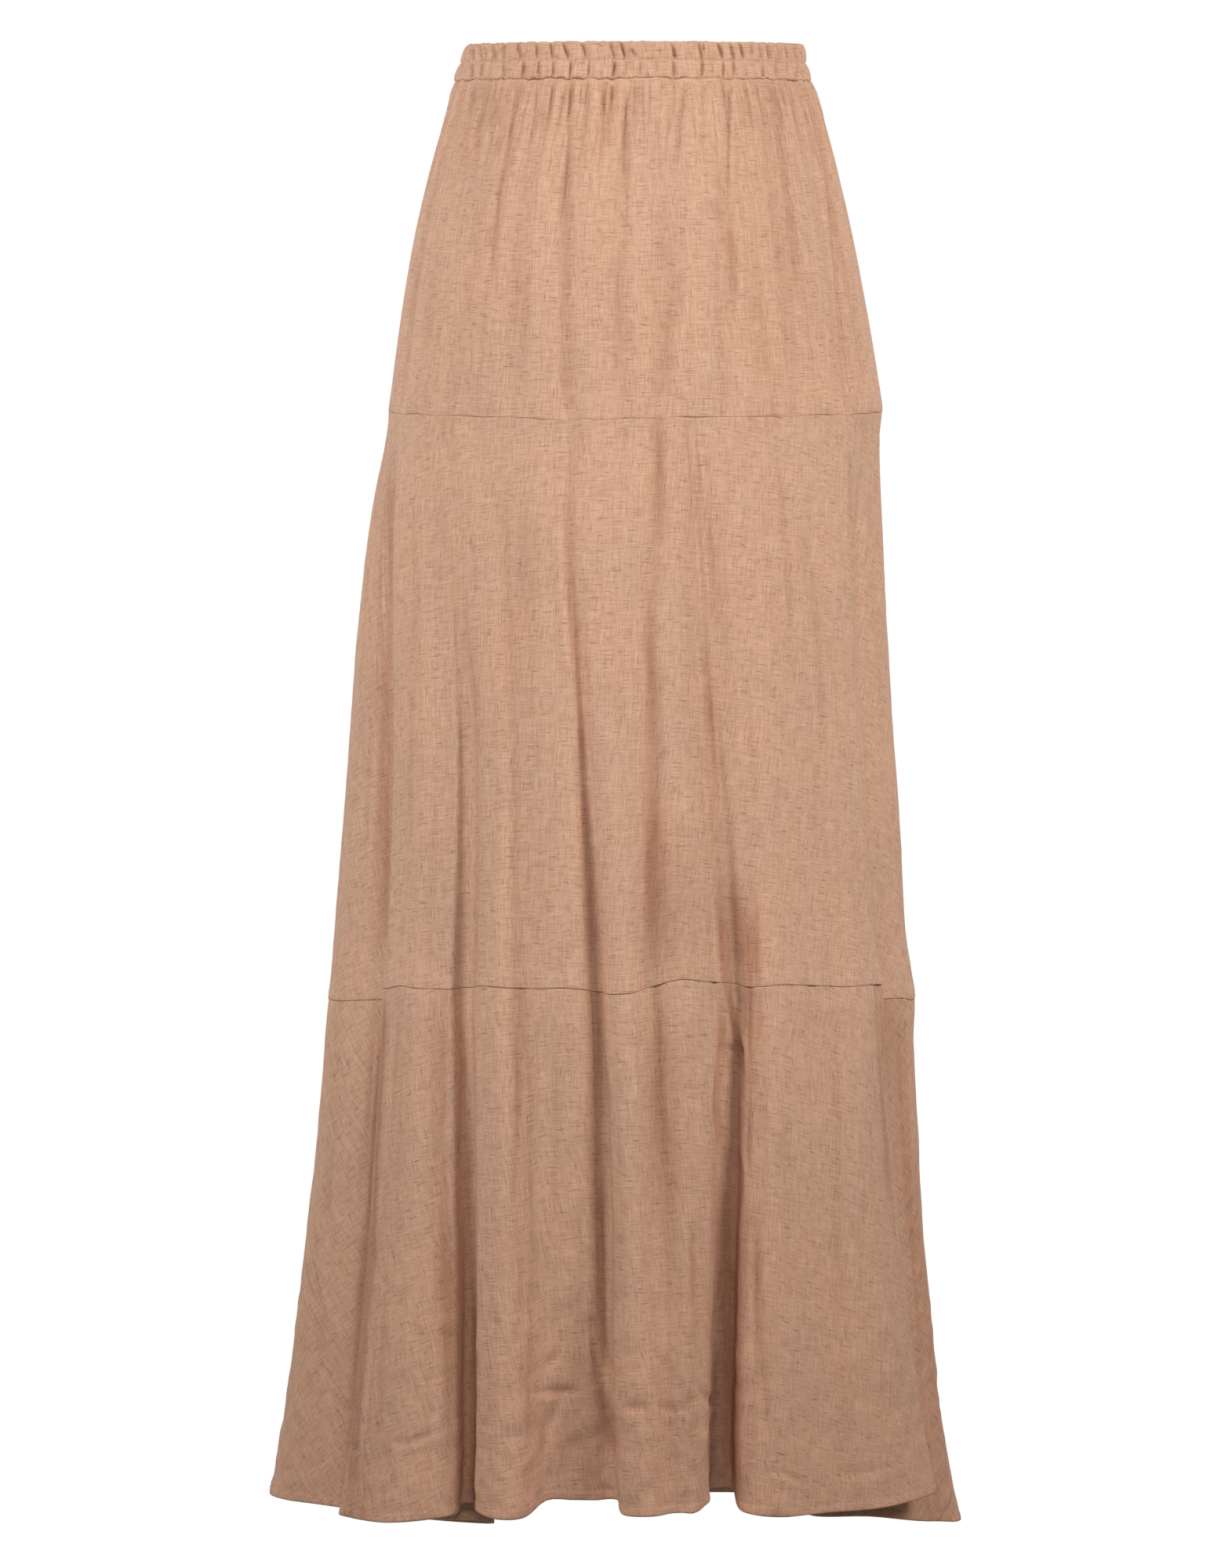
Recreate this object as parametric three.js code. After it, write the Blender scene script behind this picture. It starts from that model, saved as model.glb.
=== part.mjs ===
import * as THREE from 'three';

// Three-tier maxi skirt, as worn, hollow
// Millimetres, +Z up, -Y is the front, +X is the right side as seen from the front.
// The origin is the middle of the waist, on the stitch line between the two elastic channels.

// Cloth
const WALL = 1.5;              // thickness of the cloth walls
const SEAM_GAP = 0.3;          // space between two sewn pieces

// Waistband
const BAND_HEIGHT = 25.2;      // both elastic channels together
const BAND_FRONT_DROP = 10.5;  // the waist dips at the front
const BAND_BACK_RISE = 8.0;    // and rises at the back
const BAND_PUFF = 1.9;         // swell of each channel between its stitch lines
const BAND_EDGE = -1.1;         // the edges of the band lie inside its plain section
const GATHERS = 50;            // gathers round the waist
const GATHER_STEPS = 4;        // columns of the mesh for each gather
const GATHER_DEPTH = 0.95;     // half height of a gather on the band
const GATHER_DEPTH_TIER = 1.7; // half height of a gather just below the band
const GATHER_FADE = 62;        // length over which a gather dies away

// Seams between the tiers
const SEAM1_SIDE = -240.0;     // height at the side seams
const SEAM1_FRONT_DROP = 13.5;
const SEAM1_BACK_DROP = 5.0;
const LEDGE = 0.9;             // swell of a tier just above its lower seam
const LEDGE_SHIFT = 0.3;       // how far the tier below starts inside its seam line
const MID_SHARE = 0.6;         // depth of a fold half way down tier 2, as a share of that at seam 2,
const MID_SHARE_FRONT = 0.3;   // the same for the softer folds of the front
const MID_SHARE_TUCK = 0.8;    // and for the two folds in three layers at the left and the right

// Half widths and half depths of the skirt, from the waist to the hem
const SECTIONS = [
  { z: 25,    left: 114.5, right: 115.8, front: 92,  back: 92 },
  { z: 0,     left: 118.6, right: 118.6, front: 94,  back: 94 },
  { z: -13,   left: 122.4, right: 122.4, front: 97,  back: 95 },
  { z: -38,   left: 128.5, right: 130.1, front: 105, back: 102 },
  { z: -81,   left: 140.4, right: 141.3, front: 116, back: 113 },
  { z: -124,  left: 150.6, right: 151.0, front: 125, back: 121 },
  { z: -167,  left: 158.1, right: 159.1, front: 132, back: 127 },
  { z: -210,  left: 163.5, right: 166.6, front: 137, back: 131 },
  { z: -238,  left: 166.6, right: 170.2, front: 140, back: 133 },
  { z: -258,  left: 168.8, right: 169.0, front: 142, back: 135 },
  { z: -306,  left: 178.0, right: 170.4, front: 149, back: 141 },
  { z: -398,  left: 188.8, right: 174.7, front: 159, back: 151 },
  { z: -527,  left: 198.4, right: 183.8, front: 171, back: 163 },
  { z: -591,  left: 203.3, right: 187.0, front: 177, back: 169 },
  { z: -640,  left: 208.0, right: 193.0, front: 182, back: 173 },
  { z: -667,  left: 210.0, right: 192.2, front: 184, back: 175 },
  { z: -731,  left: 215.6, right: 195.7, front: 190, back: 180 },
  { z: -796,  left: 222.1, right: 198.9, front: 196, back: 186 },
  { z: -860,  left: 230.1, right: 204.8, front: 203, back: 192 },
  { z: -925,  left: 238.2, right: 211.3, front: 210, back: 198 },
  { z: -978,  left: 247.9, right: 220.0, front: 218, back: 204 },
  { z: -1010, left: 253.5, right: 226.5, front: 222, back: 207 },
];

// Shallow folds that run down the hip tier from the gathers: turn at the top and the bottom, depth
const HIP_FOLDS = [
  { name: 'left side',    top: 22,  bottom: 20,  deep: 1.6 },
  { name: 'left hip',     top: 36,  bottom: 38,  deep: 1.9 },
  { name: 'left front',   top: 57,  bottom: 60,  deep: 1.5 },
  { name: 'left middle',  top: 69,  bottom: 75,  deep: 2.4 },
  { name: 'middle',       top: 84,  bottom: 85,  deep: 1.7 },
  { name: 'right middle', top: 105, bottom: 96,  deep: 2.6 },
  { name: 'right front',  top: 118, bottom: 113, deep: 1.6 },
  { name: 'right hip',    top: 137, bottom: 129, deep: 1.9 },
  { name: 'right side',   top: 152, bottom: 147, deep: 3.0 },
  { name: 'back 1',       top: 205, bottom: 201, deep: 2.2 },
  { name: 'back 2',       top: 233, bottom: 230, deep: 2.0 },
  { name: 'back 3',       top: 262, bottom: 256, deep: 2.5 },
  { name: 'back 4',       top: 288, bottom: 290, deep: 1.9 },
  { name: 'back 5',       top: 321, bottom: 318, deep: 2.3 },
];

// Folds of tiers 2 and 3, one row for each line that runs down a crest, a valley or an edge.
// Turns go round from the left side (0) by the front (90) and the right side (180) to the back (270):
// at seam 1, half way down tier 2, at seam 2 and at the hem. Out is the distance from the plain
// section, and z the height, at seam 2 and at the hem.
const FOLDS = [
  { name: 'left side', seam1: 0, mid2: 0, seam2: 0, hem: 0, out2: 0, out3: 0, z2: -641, z3: -981 },
  { name: 'left lobe', seam1: 6, mid2: 15, seam2: 17, hem: 17, out2: 1, out3: 1, z2: -641, z3: -976 },
  { name: 'left enter', seam1: 10, mid2: 28, seam2: 30, hem: 31, out2: -16, out3: -26, z2: -640, z3: -978 },
  { name: 'left under', seam1: 12, mid2: 30, seam2: 37, hem: 45, out2: -24, out3: -47, z2: -638, z3: -981 },
  { name: 'left turn 1', seam1: 14, mid2: 32, seam2: 43, hem: 61, out2: -27, out3: -54, z2: -637, z3: -982 },
  { name: 'left turn 2', seam1: 16, mid2: 35, seam2: 46, hem: 63, out2: -22, out3: -48, z2: -636, z3: -981 },
  { name: 'left turn 3', seam1: 17, mid2: 36, seam2: 46, hem: 62, out2: -17, out3: -42, z2: -635, z3: -979 },
  { name: 'left back', seam1: 19, mid2: 33, seam2: 39, hem: 50, out2: -13, out3: -29, z2: -633, z3: -979 },
  { name: 'lobe 1 inside', seam1: 20, mid2: 32, seam2: 34, hem: 38, out2: -9, out3: -12, z2: -632, z3: -978 },
  { name: 'lobe 1 edge', seam1: 21, mid2: 32, seam2: 35, hem: 37, out2: -4, out3: -5, z2: -631, z3: -978 },
  { name: 'lobe 1 outside', seam1: 23, mid2: 35, seam2: 38, hem: 41, out2: 0, out3: 1, z2: -630, z3: -978 },
  { name: 'lobe 1 crest', seam1: 30, mid2: 44, seam2: 46, hem: 51, out2: 4, out3: 6, z2: -629, z3: -977 },
  { name: 'lobe 1 dip', seam1: 39, mid2: 49, seam2: 51, hem: 57, out2: -2, out3: 0, z2: -629, z3: -974 },
  { name: 'lobe 1 right', seam1: 42, mid2: 52, seam2: 54, hem: 61, out2: -3, out3: -8, z2: -629, z3: -970 },
  { name: 'valley 2 left', seam1: 43, mid2: 53, seam2: 55, hem: 60, out2: -11, out3: -25, z2: -628, z3: -965 },
  { name: 'valley 2 right', seam1: 45, mid2: 55, seam2: 57, hem: 62, out2: -12, out3: -27, z2: -628, z3: -965 },
  { name: 'lobe 2 edge', seam1: 47, mid2: 57, seam2: 60, hem: 65, out2: -2, out3: -4, z2: -628, z3: -967 },
  { name: 'lobe 2 crest', seam1: 54, mid2: 62, seam2: 65, hem: 69, out2: 3, out3: 3, z2: -628, z3: -970 },
  { name: 'lobe 2 stripe', seam1: 63, mid2: 67, seam2: 69, hem: 73, out2: -4, out3: -2, z2: -628, z3: -969 },
  { name: 'recess left', seam1: 69, mid2: 72, seam2: 73, hem: 76, out2: 1, out3: -14, z2: -628, z3: -959 },
  { name: 'recess', seam1: 72, mid2: 75, seam2: 77, hem: 80, out2: 3, out3: -22, z2: -628, z3: -959.5 },
  { name: 'recess right', seam1: 75, mid2: 78, seam2: 81, hem: 84, out2: 0, out3: -25, z2: -629, z3: -959.5 },
  { name: 'valley 3 left', seam1: 76, mid2: 79, seam2: 82, hem: 85.5, out2: -9, out3: -26, z2: -630, z3: -959 },
  { name: 'valley 3 right', seam1: 78, mid2: 80, seam2: 84, hem: 87, out2: -9, out3: -22, z2: -630, z3: -959 },
  { name: 'lobe 3 edge', seam1: 80, mid2: 82, seam2: 85.5, hem: 88, out2: -1, out3: -4, z2: -631, z3: -966 },
  { name: 'lobe 3 crest', seam1: 87, mid2: 87, seam2: 89, hem: 93, out2: 3, out3: 4, z2: -631, z3: -967 },
  { name: 'valley 4', seam1: 95, mid2: 94, seam2: 94, hem: 97, out2: -5, out3: -3, z2: -627, z3: -966 },
  { name: 'lobe 3 right', seam1: 99, mid2: 99, seam2: 99, hem: 100, out2: 3, out3: 2, z2: -623, z3: -965 },
  { name: 'lobe 3 end', seam1: 101, mid2: 103, seam2: 105, hem: 103, out2: -1, out3: -5, z2: -624, z3: -961 },
  { name: 'valley 5 left', seam1: 102, mid2: 106, seam2: 109, hem: 106, out2: -8, out3: -30, z2: -625, z3: -955 },
  { name: 'valley 5 right', seam1: 104, mid2: 108, seam2: 112, hem: 110, out2: -9, out3: -32, z2: -626, z3: -955 },
  { name: 'lobe 4 edge', seam1: 106, mid2: 110, seam2: 113, hem: 109, out2: -2, out3: -4, z2: -627, z3: -966 },
  { name: 'lobe 4 crest', seam1: 116, mid2: 119, seam2: 119, hem: 116, out2: 4, out3: 6, z2: -627, z3: -969 },
  { name: 'lobe 4 dip', seam1: 128, mid2: 131, seam2: 130, hem: 127, out2: -3, out3: -2, z2: -628, z3: -971 },
  { name: 'lobe 4 right', seam1: 138, mid2: 139, seam2: 138, hem: 137, out2: 2, out3: 4, z2: -628, z3: -971 },
  { name: 'lobe 4 outside', seam1: 147, mid2: 146, seam2: 148, hem: 154, out2: 0, out3: 1, z2: -628, z3: -970 },
  { name: 'lobe 4 end', seam1: 151, mid2: 150.5, seam2: 152, hem: 162, out2: -4, out3: -5, z2: -629, z3: -970 },
  { name: 'lobe 4 inside', seam1: 153, mid2: 151.5, seam2: 153, hem: 163, out2: -9, out3: -12, z2: -630, z3: -971 },
  { name: 'right back', seam1: 155, mid2: 149.5, seam2: 150, hem: 145, out2: -13, out3: -27, z2: -632, z3: -973 },
  { name: 'right turn 1', seam1: 157, mid2: 148.5, seam2: 146, hem: 131, out2: -17, out3: -37, z2: -634, z3: -973 },
  { name: 'right turn 2', seam1: 159, mid2: 149, seam2: 146, hem: 130, out2: -22, out3: -43, z2: -635, z3: -973 },
  { name: 'right turn 3', seam1: 160, mid2: 153, seam2: 150, hem: 133, out2: -27, out3: -49, z2: -636, z3: -979 },
  { name: 'right under', seam1: 162, mid2: 156.5, seam2: 158, hem: 152, out2: -23, out3: -42, z2: -638, z3: -986 },
  { name: 'right enter', seam1: 164, mid2: 161, seam2: 164, hem: 168, out2: -14, out3: -20, z2: -640, z3: -995 },
  { name: 'right lobe', seam1: 171, mid2: 171, seam2: 172, hem: 174, out2: -2, out3: -3, z2: -641, z3: -997 },
  { name: 'right side', seam1: 180, mid2: 180, seam2: 180, hem: 180, out2: 0, out3: 0, z2: -641, z3: -999.5 },
  { name: 'back crest 1', seam1: 190, mid2: 190, seam2: 190, hem: 189, out2: 0, out3: -1, z2: -642, z3: -1002 },
  { name: 'back valley 1', seam1: 203, mid2: 204, seam2: 204, hem: 203, out2: -13, out3: -30, z2: -643, z3: -1001 },
  { name: 'back crest 2', seam1: 216, mid2: 217, seam2: 218, hem: 219, out2: 2, out3: 4, z2: -645, z3: -1007 },
  { name: 'back valley 2', seam1: 229, mid2: 230, seam2: 231, hem: 232, out2: -9, out3: -21, z2: -646, z3: -1004 },
  { name: 'back crest 3', seam1: 242, mid2: 242, seam2: 243, hem: 244, out2: 1, out3: 3, z2: -647, z3: -1007 },
  { name: 'back valley 3', seam1: 253, mid2: 254, seam2: 255, hem: 257, out2: -14, out3: -33, z2: -648, z3: -1003 },
  { name: 'back crest 4', seam1: 267, mid2: 268, seam2: 269, hem: 270, out2: 3, out3: 5, z2: -648, z3: -1007 },
  { name: 'back valley 4', seam1: 281, mid2: 281, seam2: 282, hem: 283, out2: -8, out3: -19, z2: -647, z3: -1003 },
  { name: 'back crest 5', seam1: 293, mid2: 294, seam2: 295, hem: 295, out2: 2, out3: 2, z2: -646, z3: -1003 },
  { name: 'back valley 5', seam1: 306, mid2: 307, seam2: 307, hem: 308, out2: -14, out3: -31, z2: -645, z3: -998 },
  { name: 'back crest 6', seam1: 320, mid2: 321, seam2: 321, hem: 321, out2: 2, out3: 3, z2: -643, z3: -996 },
  { name: 'back valley 6', seam1: 334, mid2: 334, seam2: 335, hem: 336, out2: -10, out3: -22, z2: -642, z3: -989 },
  { name: 'back crest 7', seam1: 348, mid2: 347, seam2: 348, hem: 349, out2: -1, out3: -2, z2: -641, z3: -985 },
];

// Rows of the mesh
const BAND_ROWS = [-1, -0.5, 0, 0.5, 1];
const TIER1_ROWS = [0, 0.06, 0.22, 0.52, 0.955, 1];
const TIER2_ROWS = [0, 0.13, 0.33, 0.56, 0.79, 0.97, 1];
const TIER3_ROWS = [0, 0.18, 0.42, 0.7, 1];

const FRONT_PITCH = 9.5;      // width of the mesh columns at the hem, front and back
const BACK_PITCH = 16;

const COLOURS = { cloth: 0xd1a184 };
const DEG = Math.PI / 180;

// Smooth curve through rows of a table: value of a column at a place
function along(places, values, at) {
  const last = places.length - 1;
  const up = places[last] > places[0];
  let i = 0;
  while (i < last - 1 && (up ? at > places[i + 1] : at < places[i + 1])) i += 1;
  const slope = (k) => {
    const a = Math.max(k - 1, 0);
    const b = Math.min(k + 1, last);
    return (values[b] - values[a]) / (places[b] - places[a]);
  };
  const span = places[i + 1] - places[i];
  const t = (at - places[i]) / span;
  const t2 = t * t;
  const t3 = t2 * t;
  const start = (2 * t3 - 3 * t2 + 1) * values[i] + (t3 - 2 * t2 + t) * span * slope(i);
  return start + (3 * t2 - 2 * t3) * values[i + 1] + (t3 - t2) * span * slope(i + 1);
}

const SECTION_Z = SECTIONS.map((row) => row.z);
const column = (name) => SECTIONS.map((row) => row[name]);
const LEFT = column('left');
const RIGHT = column('right');
const FRONT = column('front');
const BACK = column('back');

// Point of the plain section at a height and a turn, moved out from the section
function place(z, turn, out) {
  const c = Math.cos(turn * DEG);
  const s = Math.sin(turn * DEG);
  const width = along(SECTION_Z, c > 0 ? LEFT : RIGHT, z);
  const depth = along(SECTION_Z, s > 0 ? FRONT : BACK, z);
  const nx = -c / width;
  const ny = -s / depth;
  const size = Math.hypot(nx, ny);
  return [-width * c + (out * nx) / size, -depth * s + (out * ny) / size, z];
}

// Height of the waist plane and of seam 1 round the body
function waistTilt(turn) {
  const s = Math.sin(turn * DEG);
  return s > 0 ? -BAND_FRONT_DROP * s : -BAND_BACK_RISE * s;
}

function seam1Height(turn) {
  const s = Math.sin(turn * DEG);
  return SEAM1_SIDE + (s > 0 ? -SEAM1_FRONT_DROP * s : SEAM1_BACK_DROP * s);
}

// Closed wall of cloth between an outer grid of points and the same grid moved in.
// The grid runs down in rows; a tube closes on itself, and a panel is a range of its columns.
function wall(name, rows, from, to) {
  const count = rows[0].length;
  const at = (r, c) => rows[r][((c % count) + count) % count];
  const columns = [];
  const tube = from === null;
  const first = tube ? 0 : from;
  const last = tube ? count - 1 : to;
  for (let c = first; c <= last; c += 1) columns.push(c);
  const outer = [];
  const inner = [];
  rows.forEach((row, r) => {
    columns.forEach((c) => {
      const before = new THREE.Vector3(...at(r, c)).sub(new THREE.Vector3(...at(r, c - 1))).normalize();
      const after = new THREE.Vector3(...at(r, c + 1)).sub(new THREE.Vector3(...at(r, c))).normalize();
      const across = before.clone().add(after);
      const mitre = Math.max(0.6, Math.sqrt((1 + before.dot(after)) / 2));
      const above = new THREE.Vector3(...at(Math.max(r - 1, 0), c));
      const below = new THREE.Vector3(...at(Math.min(r + 1, rows.length - 1), c));
      const normal = across.clone().cross(above.sub(below)).normalize();
      const p = new THREE.Vector3(...at(r, c));
      if (!tube && c === first) p.addScaledVector(across.normalize(), SEAM_GAP / 2);
      if (!tube && c === last) p.addScaledVector(across.normalize(), -SEAM_GAP / 2);
      outer.push(p);
      const q = p.clone().addScaledVector(normal, -WALL / mitre);
      if (r === 0 || r === rows.length - 1) q.z = p.z;
      inner.push(q);
    });
  });
  const width = columns.length;
  const height = rows.length;
  const half = outer.length;
  const faces = [];
  const quad = (a, b, c, d) => faces.push(a, b, c, a, c, d);
  const steps = tube ? width : width - 1;
  for (let c = 0; c < steps; c += 1) {
    const d = (c + 1) % width;
    for (let r = 0; r < height - 1; r += 1) {
      const top = r * width;
      const low = top + width;
      quad(top + c, low + c, low + d, top + d);
      quad(half + top + c, half + top + d, half + low + d, half + low + c);
    }
    const end = (height - 1) * width;
    quad(c, d, half + d, half + c);
    quad(end + c, half + end + c, half + end + d, end + d);
  }
  if (!tube) {
    for (let r = 0; r < height - 1; r += 1) {
      const a = r * width;
      const b = a + width;
      quad(a, half + a, half + b, b);
      quad(a + width - 1, b + width - 1, half + b + width - 1, half + a + width - 1);
    }
  }
  const geometry = new THREE.BufferGeometry();
  const points = outer.concat(inner).flatMap((p) => [p.x, p.y, p.z]);
  geometry.setAttribute('position', new THREE.Float32BufferAttribute(points, 3));
  geometry.setIndex(faces);
  geometry.computeVertexNormals();
  const material = new THREE.MeshStandardMaterial({ color: COLOURS.cloth, roughness: 0.9, metalness: 0 });
  material.name = 'linen';
  const mesh = new THREE.Mesh(geometry, material);
  mesh.name = name;
  return mesh;
}

// Gathers: uneven columns round the waist, and the swell of each gather
const GATHER_COLUMNS = GATHERS * GATHER_STEPS;

function gatherTurn(c) {
  const u = (c / GATHER_COLUMNS) * 2 * Math.PI;
  const shift = 0.011 * Math.sin(5 * u) + 0.007 * Math.sin(11 * u) + 0.004 * Math.sin(18 * u);
  return (u + shift) / DEG;
}

function gatherSize(c) {
  const number = Math.round(c / GATHER_STEPS);
  return 0.72 + 0.28 * Math.sin(number * 2.4);
}

function gatherWave(c) {
  return Math.cos((c / GATHER_STEPS) * 2 * Math.PI) * gatherSize(c);
}

// Waistband
function bandRows() {
  return BAND_ROWS.map((h) => {
    const row = [];
    const channel = Math.max(0, 1 - (2 * Math.abs(h) - 1) ** 2);
    for (let c = 0; c < GATHER_COLUMNS; c += 1) {
      const turn = gatherTurn(c);
      const z = -h * (BAND_HEIGHT / 2) + waistTilt(turn);
      const gather = GATHER_DEPTH * gatherWave(c) * (0.35 + 0.65 * channel);
      const out = BAND_EDGE + BAND_PUFF * Math.sqrt(channel) + gather;
      const point = place(z - waistTilt(turn), turn, out);
      row.push([point[0], point[1], z]);
    }
    return row;
  });
}

// Hip tier
function hipFold(turn, f) {
  let out = 0;
  HIP_FOLDS.forEach((fold) => {
    const middle = fold.top + (fold.bottom - fold.top) * f;
    const away = (turn - middle) / 4.2;
    out -= fold.deep * Math.exp(-away * away) * (0.55 + 0.45 * f);
  });
  return out;
}

function tier1Rows() {
  return TIER1_ROWS.map((f, r) => {
    const row = [];
    for (let c = 0; c < GATHER_COLUMNS; c += 1) {
      const turn = gatherTurn(c);
      const top = waistTilt(turn) - BAND_HEIGHT / 2 - SEAM_GAP;
      const low = seam1Height(turn) + SEAM_GAP;
      const z = top + (low - top) * f;
      const fade = Math.exp((z - top) / (GATHER_FADE * (0.7 + 0.6 * gatherSize(c + 9))));
      const ledge = r >= TIER1_ROWS.length - 2 ? LEDGE : 0;
      const begin = Math.min(1, f / TIER1_ROWS[1]);
      const gather = GATHER_DEPTH_TIER * gatherWave(c) * fade * (0.2 + 0.8 * begin);
      const out = BAND_EDGE * (1 - begin) + gather;
      row.push(place(z, turn, out + ledge + hipFold(turn, f)));
    }
    return row;
  });
}

// Tiers 2 and 3: a smooth closed curve through the fold lines at every height
const STAGES = [0, 0.5, 1, 2];

function foldPoint(fold, stage) {
  const turn = along(STAGES, [fold.seam1, fold.mid2, fold.seam2, fold.hem], stage);
  let share = MID_SHARE_TUCK;
  if (fold.seam2 > 50 && fold.seam2 < 145) share = MID_SHARE_FRONT;
  if (fold.seam2 > 180) share = MID_SHARE;
  const half = fold.out2 * share;
  const out = along(STAGES, [-LEDGE_SHIFT, half, fold.out2, fold.out3], stage);
  const low = stage <= 1;
  const top = low ? seam1Height(fold.seam1) : fold.z2 - SEAM_GAP;
  const end = low ? fold.z2 + SEAM_GAP : fold.z3;
  const z = top + (end - top) * (low ? stage : stage - 1);
  return place(z, turn, out);
}

const HEM_POINTS = FOLDS.map((fold) => foldPoint(fold, 2));

function subSteps(i) {
  const a = HEM_POINTS[i];
  const b = HEM_POINTS[(i + 1) % HEM_POINTS.length];
  const chord = Math.hypot(b[0] - a[0], b[1] - a[1]);
  const pitch = FOLDS[i].hem < 180 ? FRONT_PITCH : BACK_PITCH;
  return Math.max(1, Math.round(chord / pitch));
}

const STEPS = FOLDS.map((fold, i) => subSteps(i));

function roundCurve(points) {
  const count = points.length;
  const get = (k) => points[(k + count) % count];
  const root = (a, b) => Math.max(0.05, Math.sqrt(Math.hypot(b[0] - a[0], b[1] - a[1], b[2] - a[2])));
  const tangent = (k, axis) => {
    const d0 = root(get(k - 1), get(k));
    const d1 = root(get(k), get(k + 1));
    const v0 = (get(k)[axis] - get(k - 1)[axis]) / d0;
    const v1 = (get(k + 1)[axis] - get(k)[axis]) / d1;
    return (v0 * d1 + v1 * d0) / (d0 + d1);
  };
  const row = [];
  for (let k = 0; k < count; k += 1) {
    const span = root(get(k), get(k + 1));
    for (let s = 0; s < STEPS[k]; s += 1) {
      const t = s / STEPS[k];
      const t2 = t * t;
      const t3 = t2 * t;
      row.push([0, 1, 2].map((axis) => {
        const start = (2 * t3 - 3 * t2 + 1) * get(k)[axis] + (t3 - 2 * t2 + t) * span * tangent(k, axis);
        return start + (3 * t2 - 2 * t3) * get(k + 1)[axis] + (t3 - t2) * span * tangent(k + 1, axis);
      }));
    }
  }
  return row;
}

function swell(rows, r) {
  const row = rows[r];
  const count = row.length;
  return row.map((p, c) => {
    const a = row[(c + count - 1) % count];
    const b = row[(c + 1) % count];
    const size = Math.hypot(b[0] - a[0], b[1] - a[1]);
    return [p[0] + (LEDGE * (b[1] - a[1])) / size, p[1] - (LEDGE * (b[0] - a[0])) / size, p[2]];
  });
}

function foldedRows(stages) {
  return stages.map((stage) => roundCurve(FOLDS.map((fold) => foldPoint(fold, stage))));
}

function tier2Rows() {
  const rows = foldedRows(TIER2_ROWS);
  const last = rows.length - 1;
  return rows.map((row, r) => (r >= last - 1 ? swell(rows, r) : row));
}

function tier3Rows() {
  return foldedRows(TIER3_ROWS.map((f) => 1.0001 + 0.9999 * f));
}

// Columns at the side seams
const SIDE = FOLDS.findIndex((fold) => fold.name === 'right side');
const FOLD_SIDE = STEPS.slice(0, SIDE).reduce((sum, n) => sum + n, 0);
const FOLD_COLUMNS = STEPS.reduce((sum, n) => sum + n, 0);
const GATHER_SIDE = GATHER_COLUMNS / 2;

const skirt = new THREE.Group();
skirt.name = 'maxi_skirt';

skirt.add(wall('waistband', bandRows(), null, null));

const tier1 = tier1Rows();
skirt.add(wall('tier1_front', tier1, 0, GATHER_SIDE));
skirt.add(wall('tier1_back', tier1, GATHER_SIDE, GATHER_COLUMNS));

const tier2 = tier2Rows();
skirt.add(wall('tier2_front', tier2, 0, FOLD_SIDE));
skirt.add(wall('tier2_back', tier2, FOLD_SIDE, FOLD_COLUMNS));

const tier3 = tier3Rows();
skirt.add(wall('tier3_front', tier3, 0, FOLD_SIDE));
skirt.add(wall('tier3_back', tier3, FOLD_SIDE, FOLD_COLUMNS));

export default skirt;
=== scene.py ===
import math

import bpy
import numpy as np
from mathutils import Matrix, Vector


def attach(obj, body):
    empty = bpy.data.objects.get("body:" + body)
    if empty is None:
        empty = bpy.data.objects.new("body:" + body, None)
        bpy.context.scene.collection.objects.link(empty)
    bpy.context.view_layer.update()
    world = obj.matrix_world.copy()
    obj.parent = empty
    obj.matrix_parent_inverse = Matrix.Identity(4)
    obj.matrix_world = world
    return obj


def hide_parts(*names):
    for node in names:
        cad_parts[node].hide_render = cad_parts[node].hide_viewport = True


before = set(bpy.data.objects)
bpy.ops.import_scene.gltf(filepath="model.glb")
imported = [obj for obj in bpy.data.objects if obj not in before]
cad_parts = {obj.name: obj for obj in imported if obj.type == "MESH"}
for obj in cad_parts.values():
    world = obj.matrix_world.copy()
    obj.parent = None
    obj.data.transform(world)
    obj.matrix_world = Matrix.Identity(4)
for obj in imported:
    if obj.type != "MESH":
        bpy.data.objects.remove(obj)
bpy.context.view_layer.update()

# Three-tier maxi skirt. Lengths are in millimetres until a mesh is made, then metres.
# Turns go round from the left side (0) by the front (90) and the right side (180) to the back (270).
MM = 0.001

# Cloth: wall, gaps at the seams, and how far the rows and columns beside a seam curl in
WALL = 0.8
SEAM_GAP = 0.14
SIDE_GAP = 0.02
CURL_SHARES = (1.0, 0.45, 0.18, 0.05)
SEAM_CURL = 0.36
SIDE_CURL = 0.7
SEAM_FADE = 18.0

# Waistband
BAND_HEIGHT = 25.2
BAND_THICK = 1.9
BAND_FRONT_DROP = 10.5
BAND_BACK_RISE = 8.0
BAND_PUFF = 1.35
BAND_EDGE = -1.1
BAND_LOW_EDGE = -0.7
BAND_BLEND = 55.0
BAND_ROWS = 33
BAND_FRONT, BAND_BACK = 900, 400
BAND_CURL = (0.3, 0.05, 0.12, 0.45)
BAND_INNER_LIP = 0.5
# Painted shade in the band's grooves: the depth, negated, where it starts and the depth over which it grows
BAND_SHADE_FROM, BAND_SHADE_SPAN = -0.4, 1.8
BAND_ARC = 1.95
TOP_LEFT_TUCK = 3.0
GATHERS = 50
GATHER_DEPTH = 0.95
GROOVE_DEPTH = 1.7
WAIST_STITCH = (2.6, 1.9, 0.22)

# Tier 1
TIER1_FRONT, TIER1_BACK = 500, 200
TIER1_TOP_SHARE = 0.945
TIER1_ARC = 2.9
HIP_FOLD_WIDTH = 4.2
GATHER_DEPTH_TIER = 1.7
GATHER_FADE = 62.0
GATHER_LINE = 0.34
LEDGE = 0.5
SEAM1_SIDE = -240.0
SEAM1_FRONT_DROP = 13.5
SEAM1_BACK_DROP = 5.0
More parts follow.
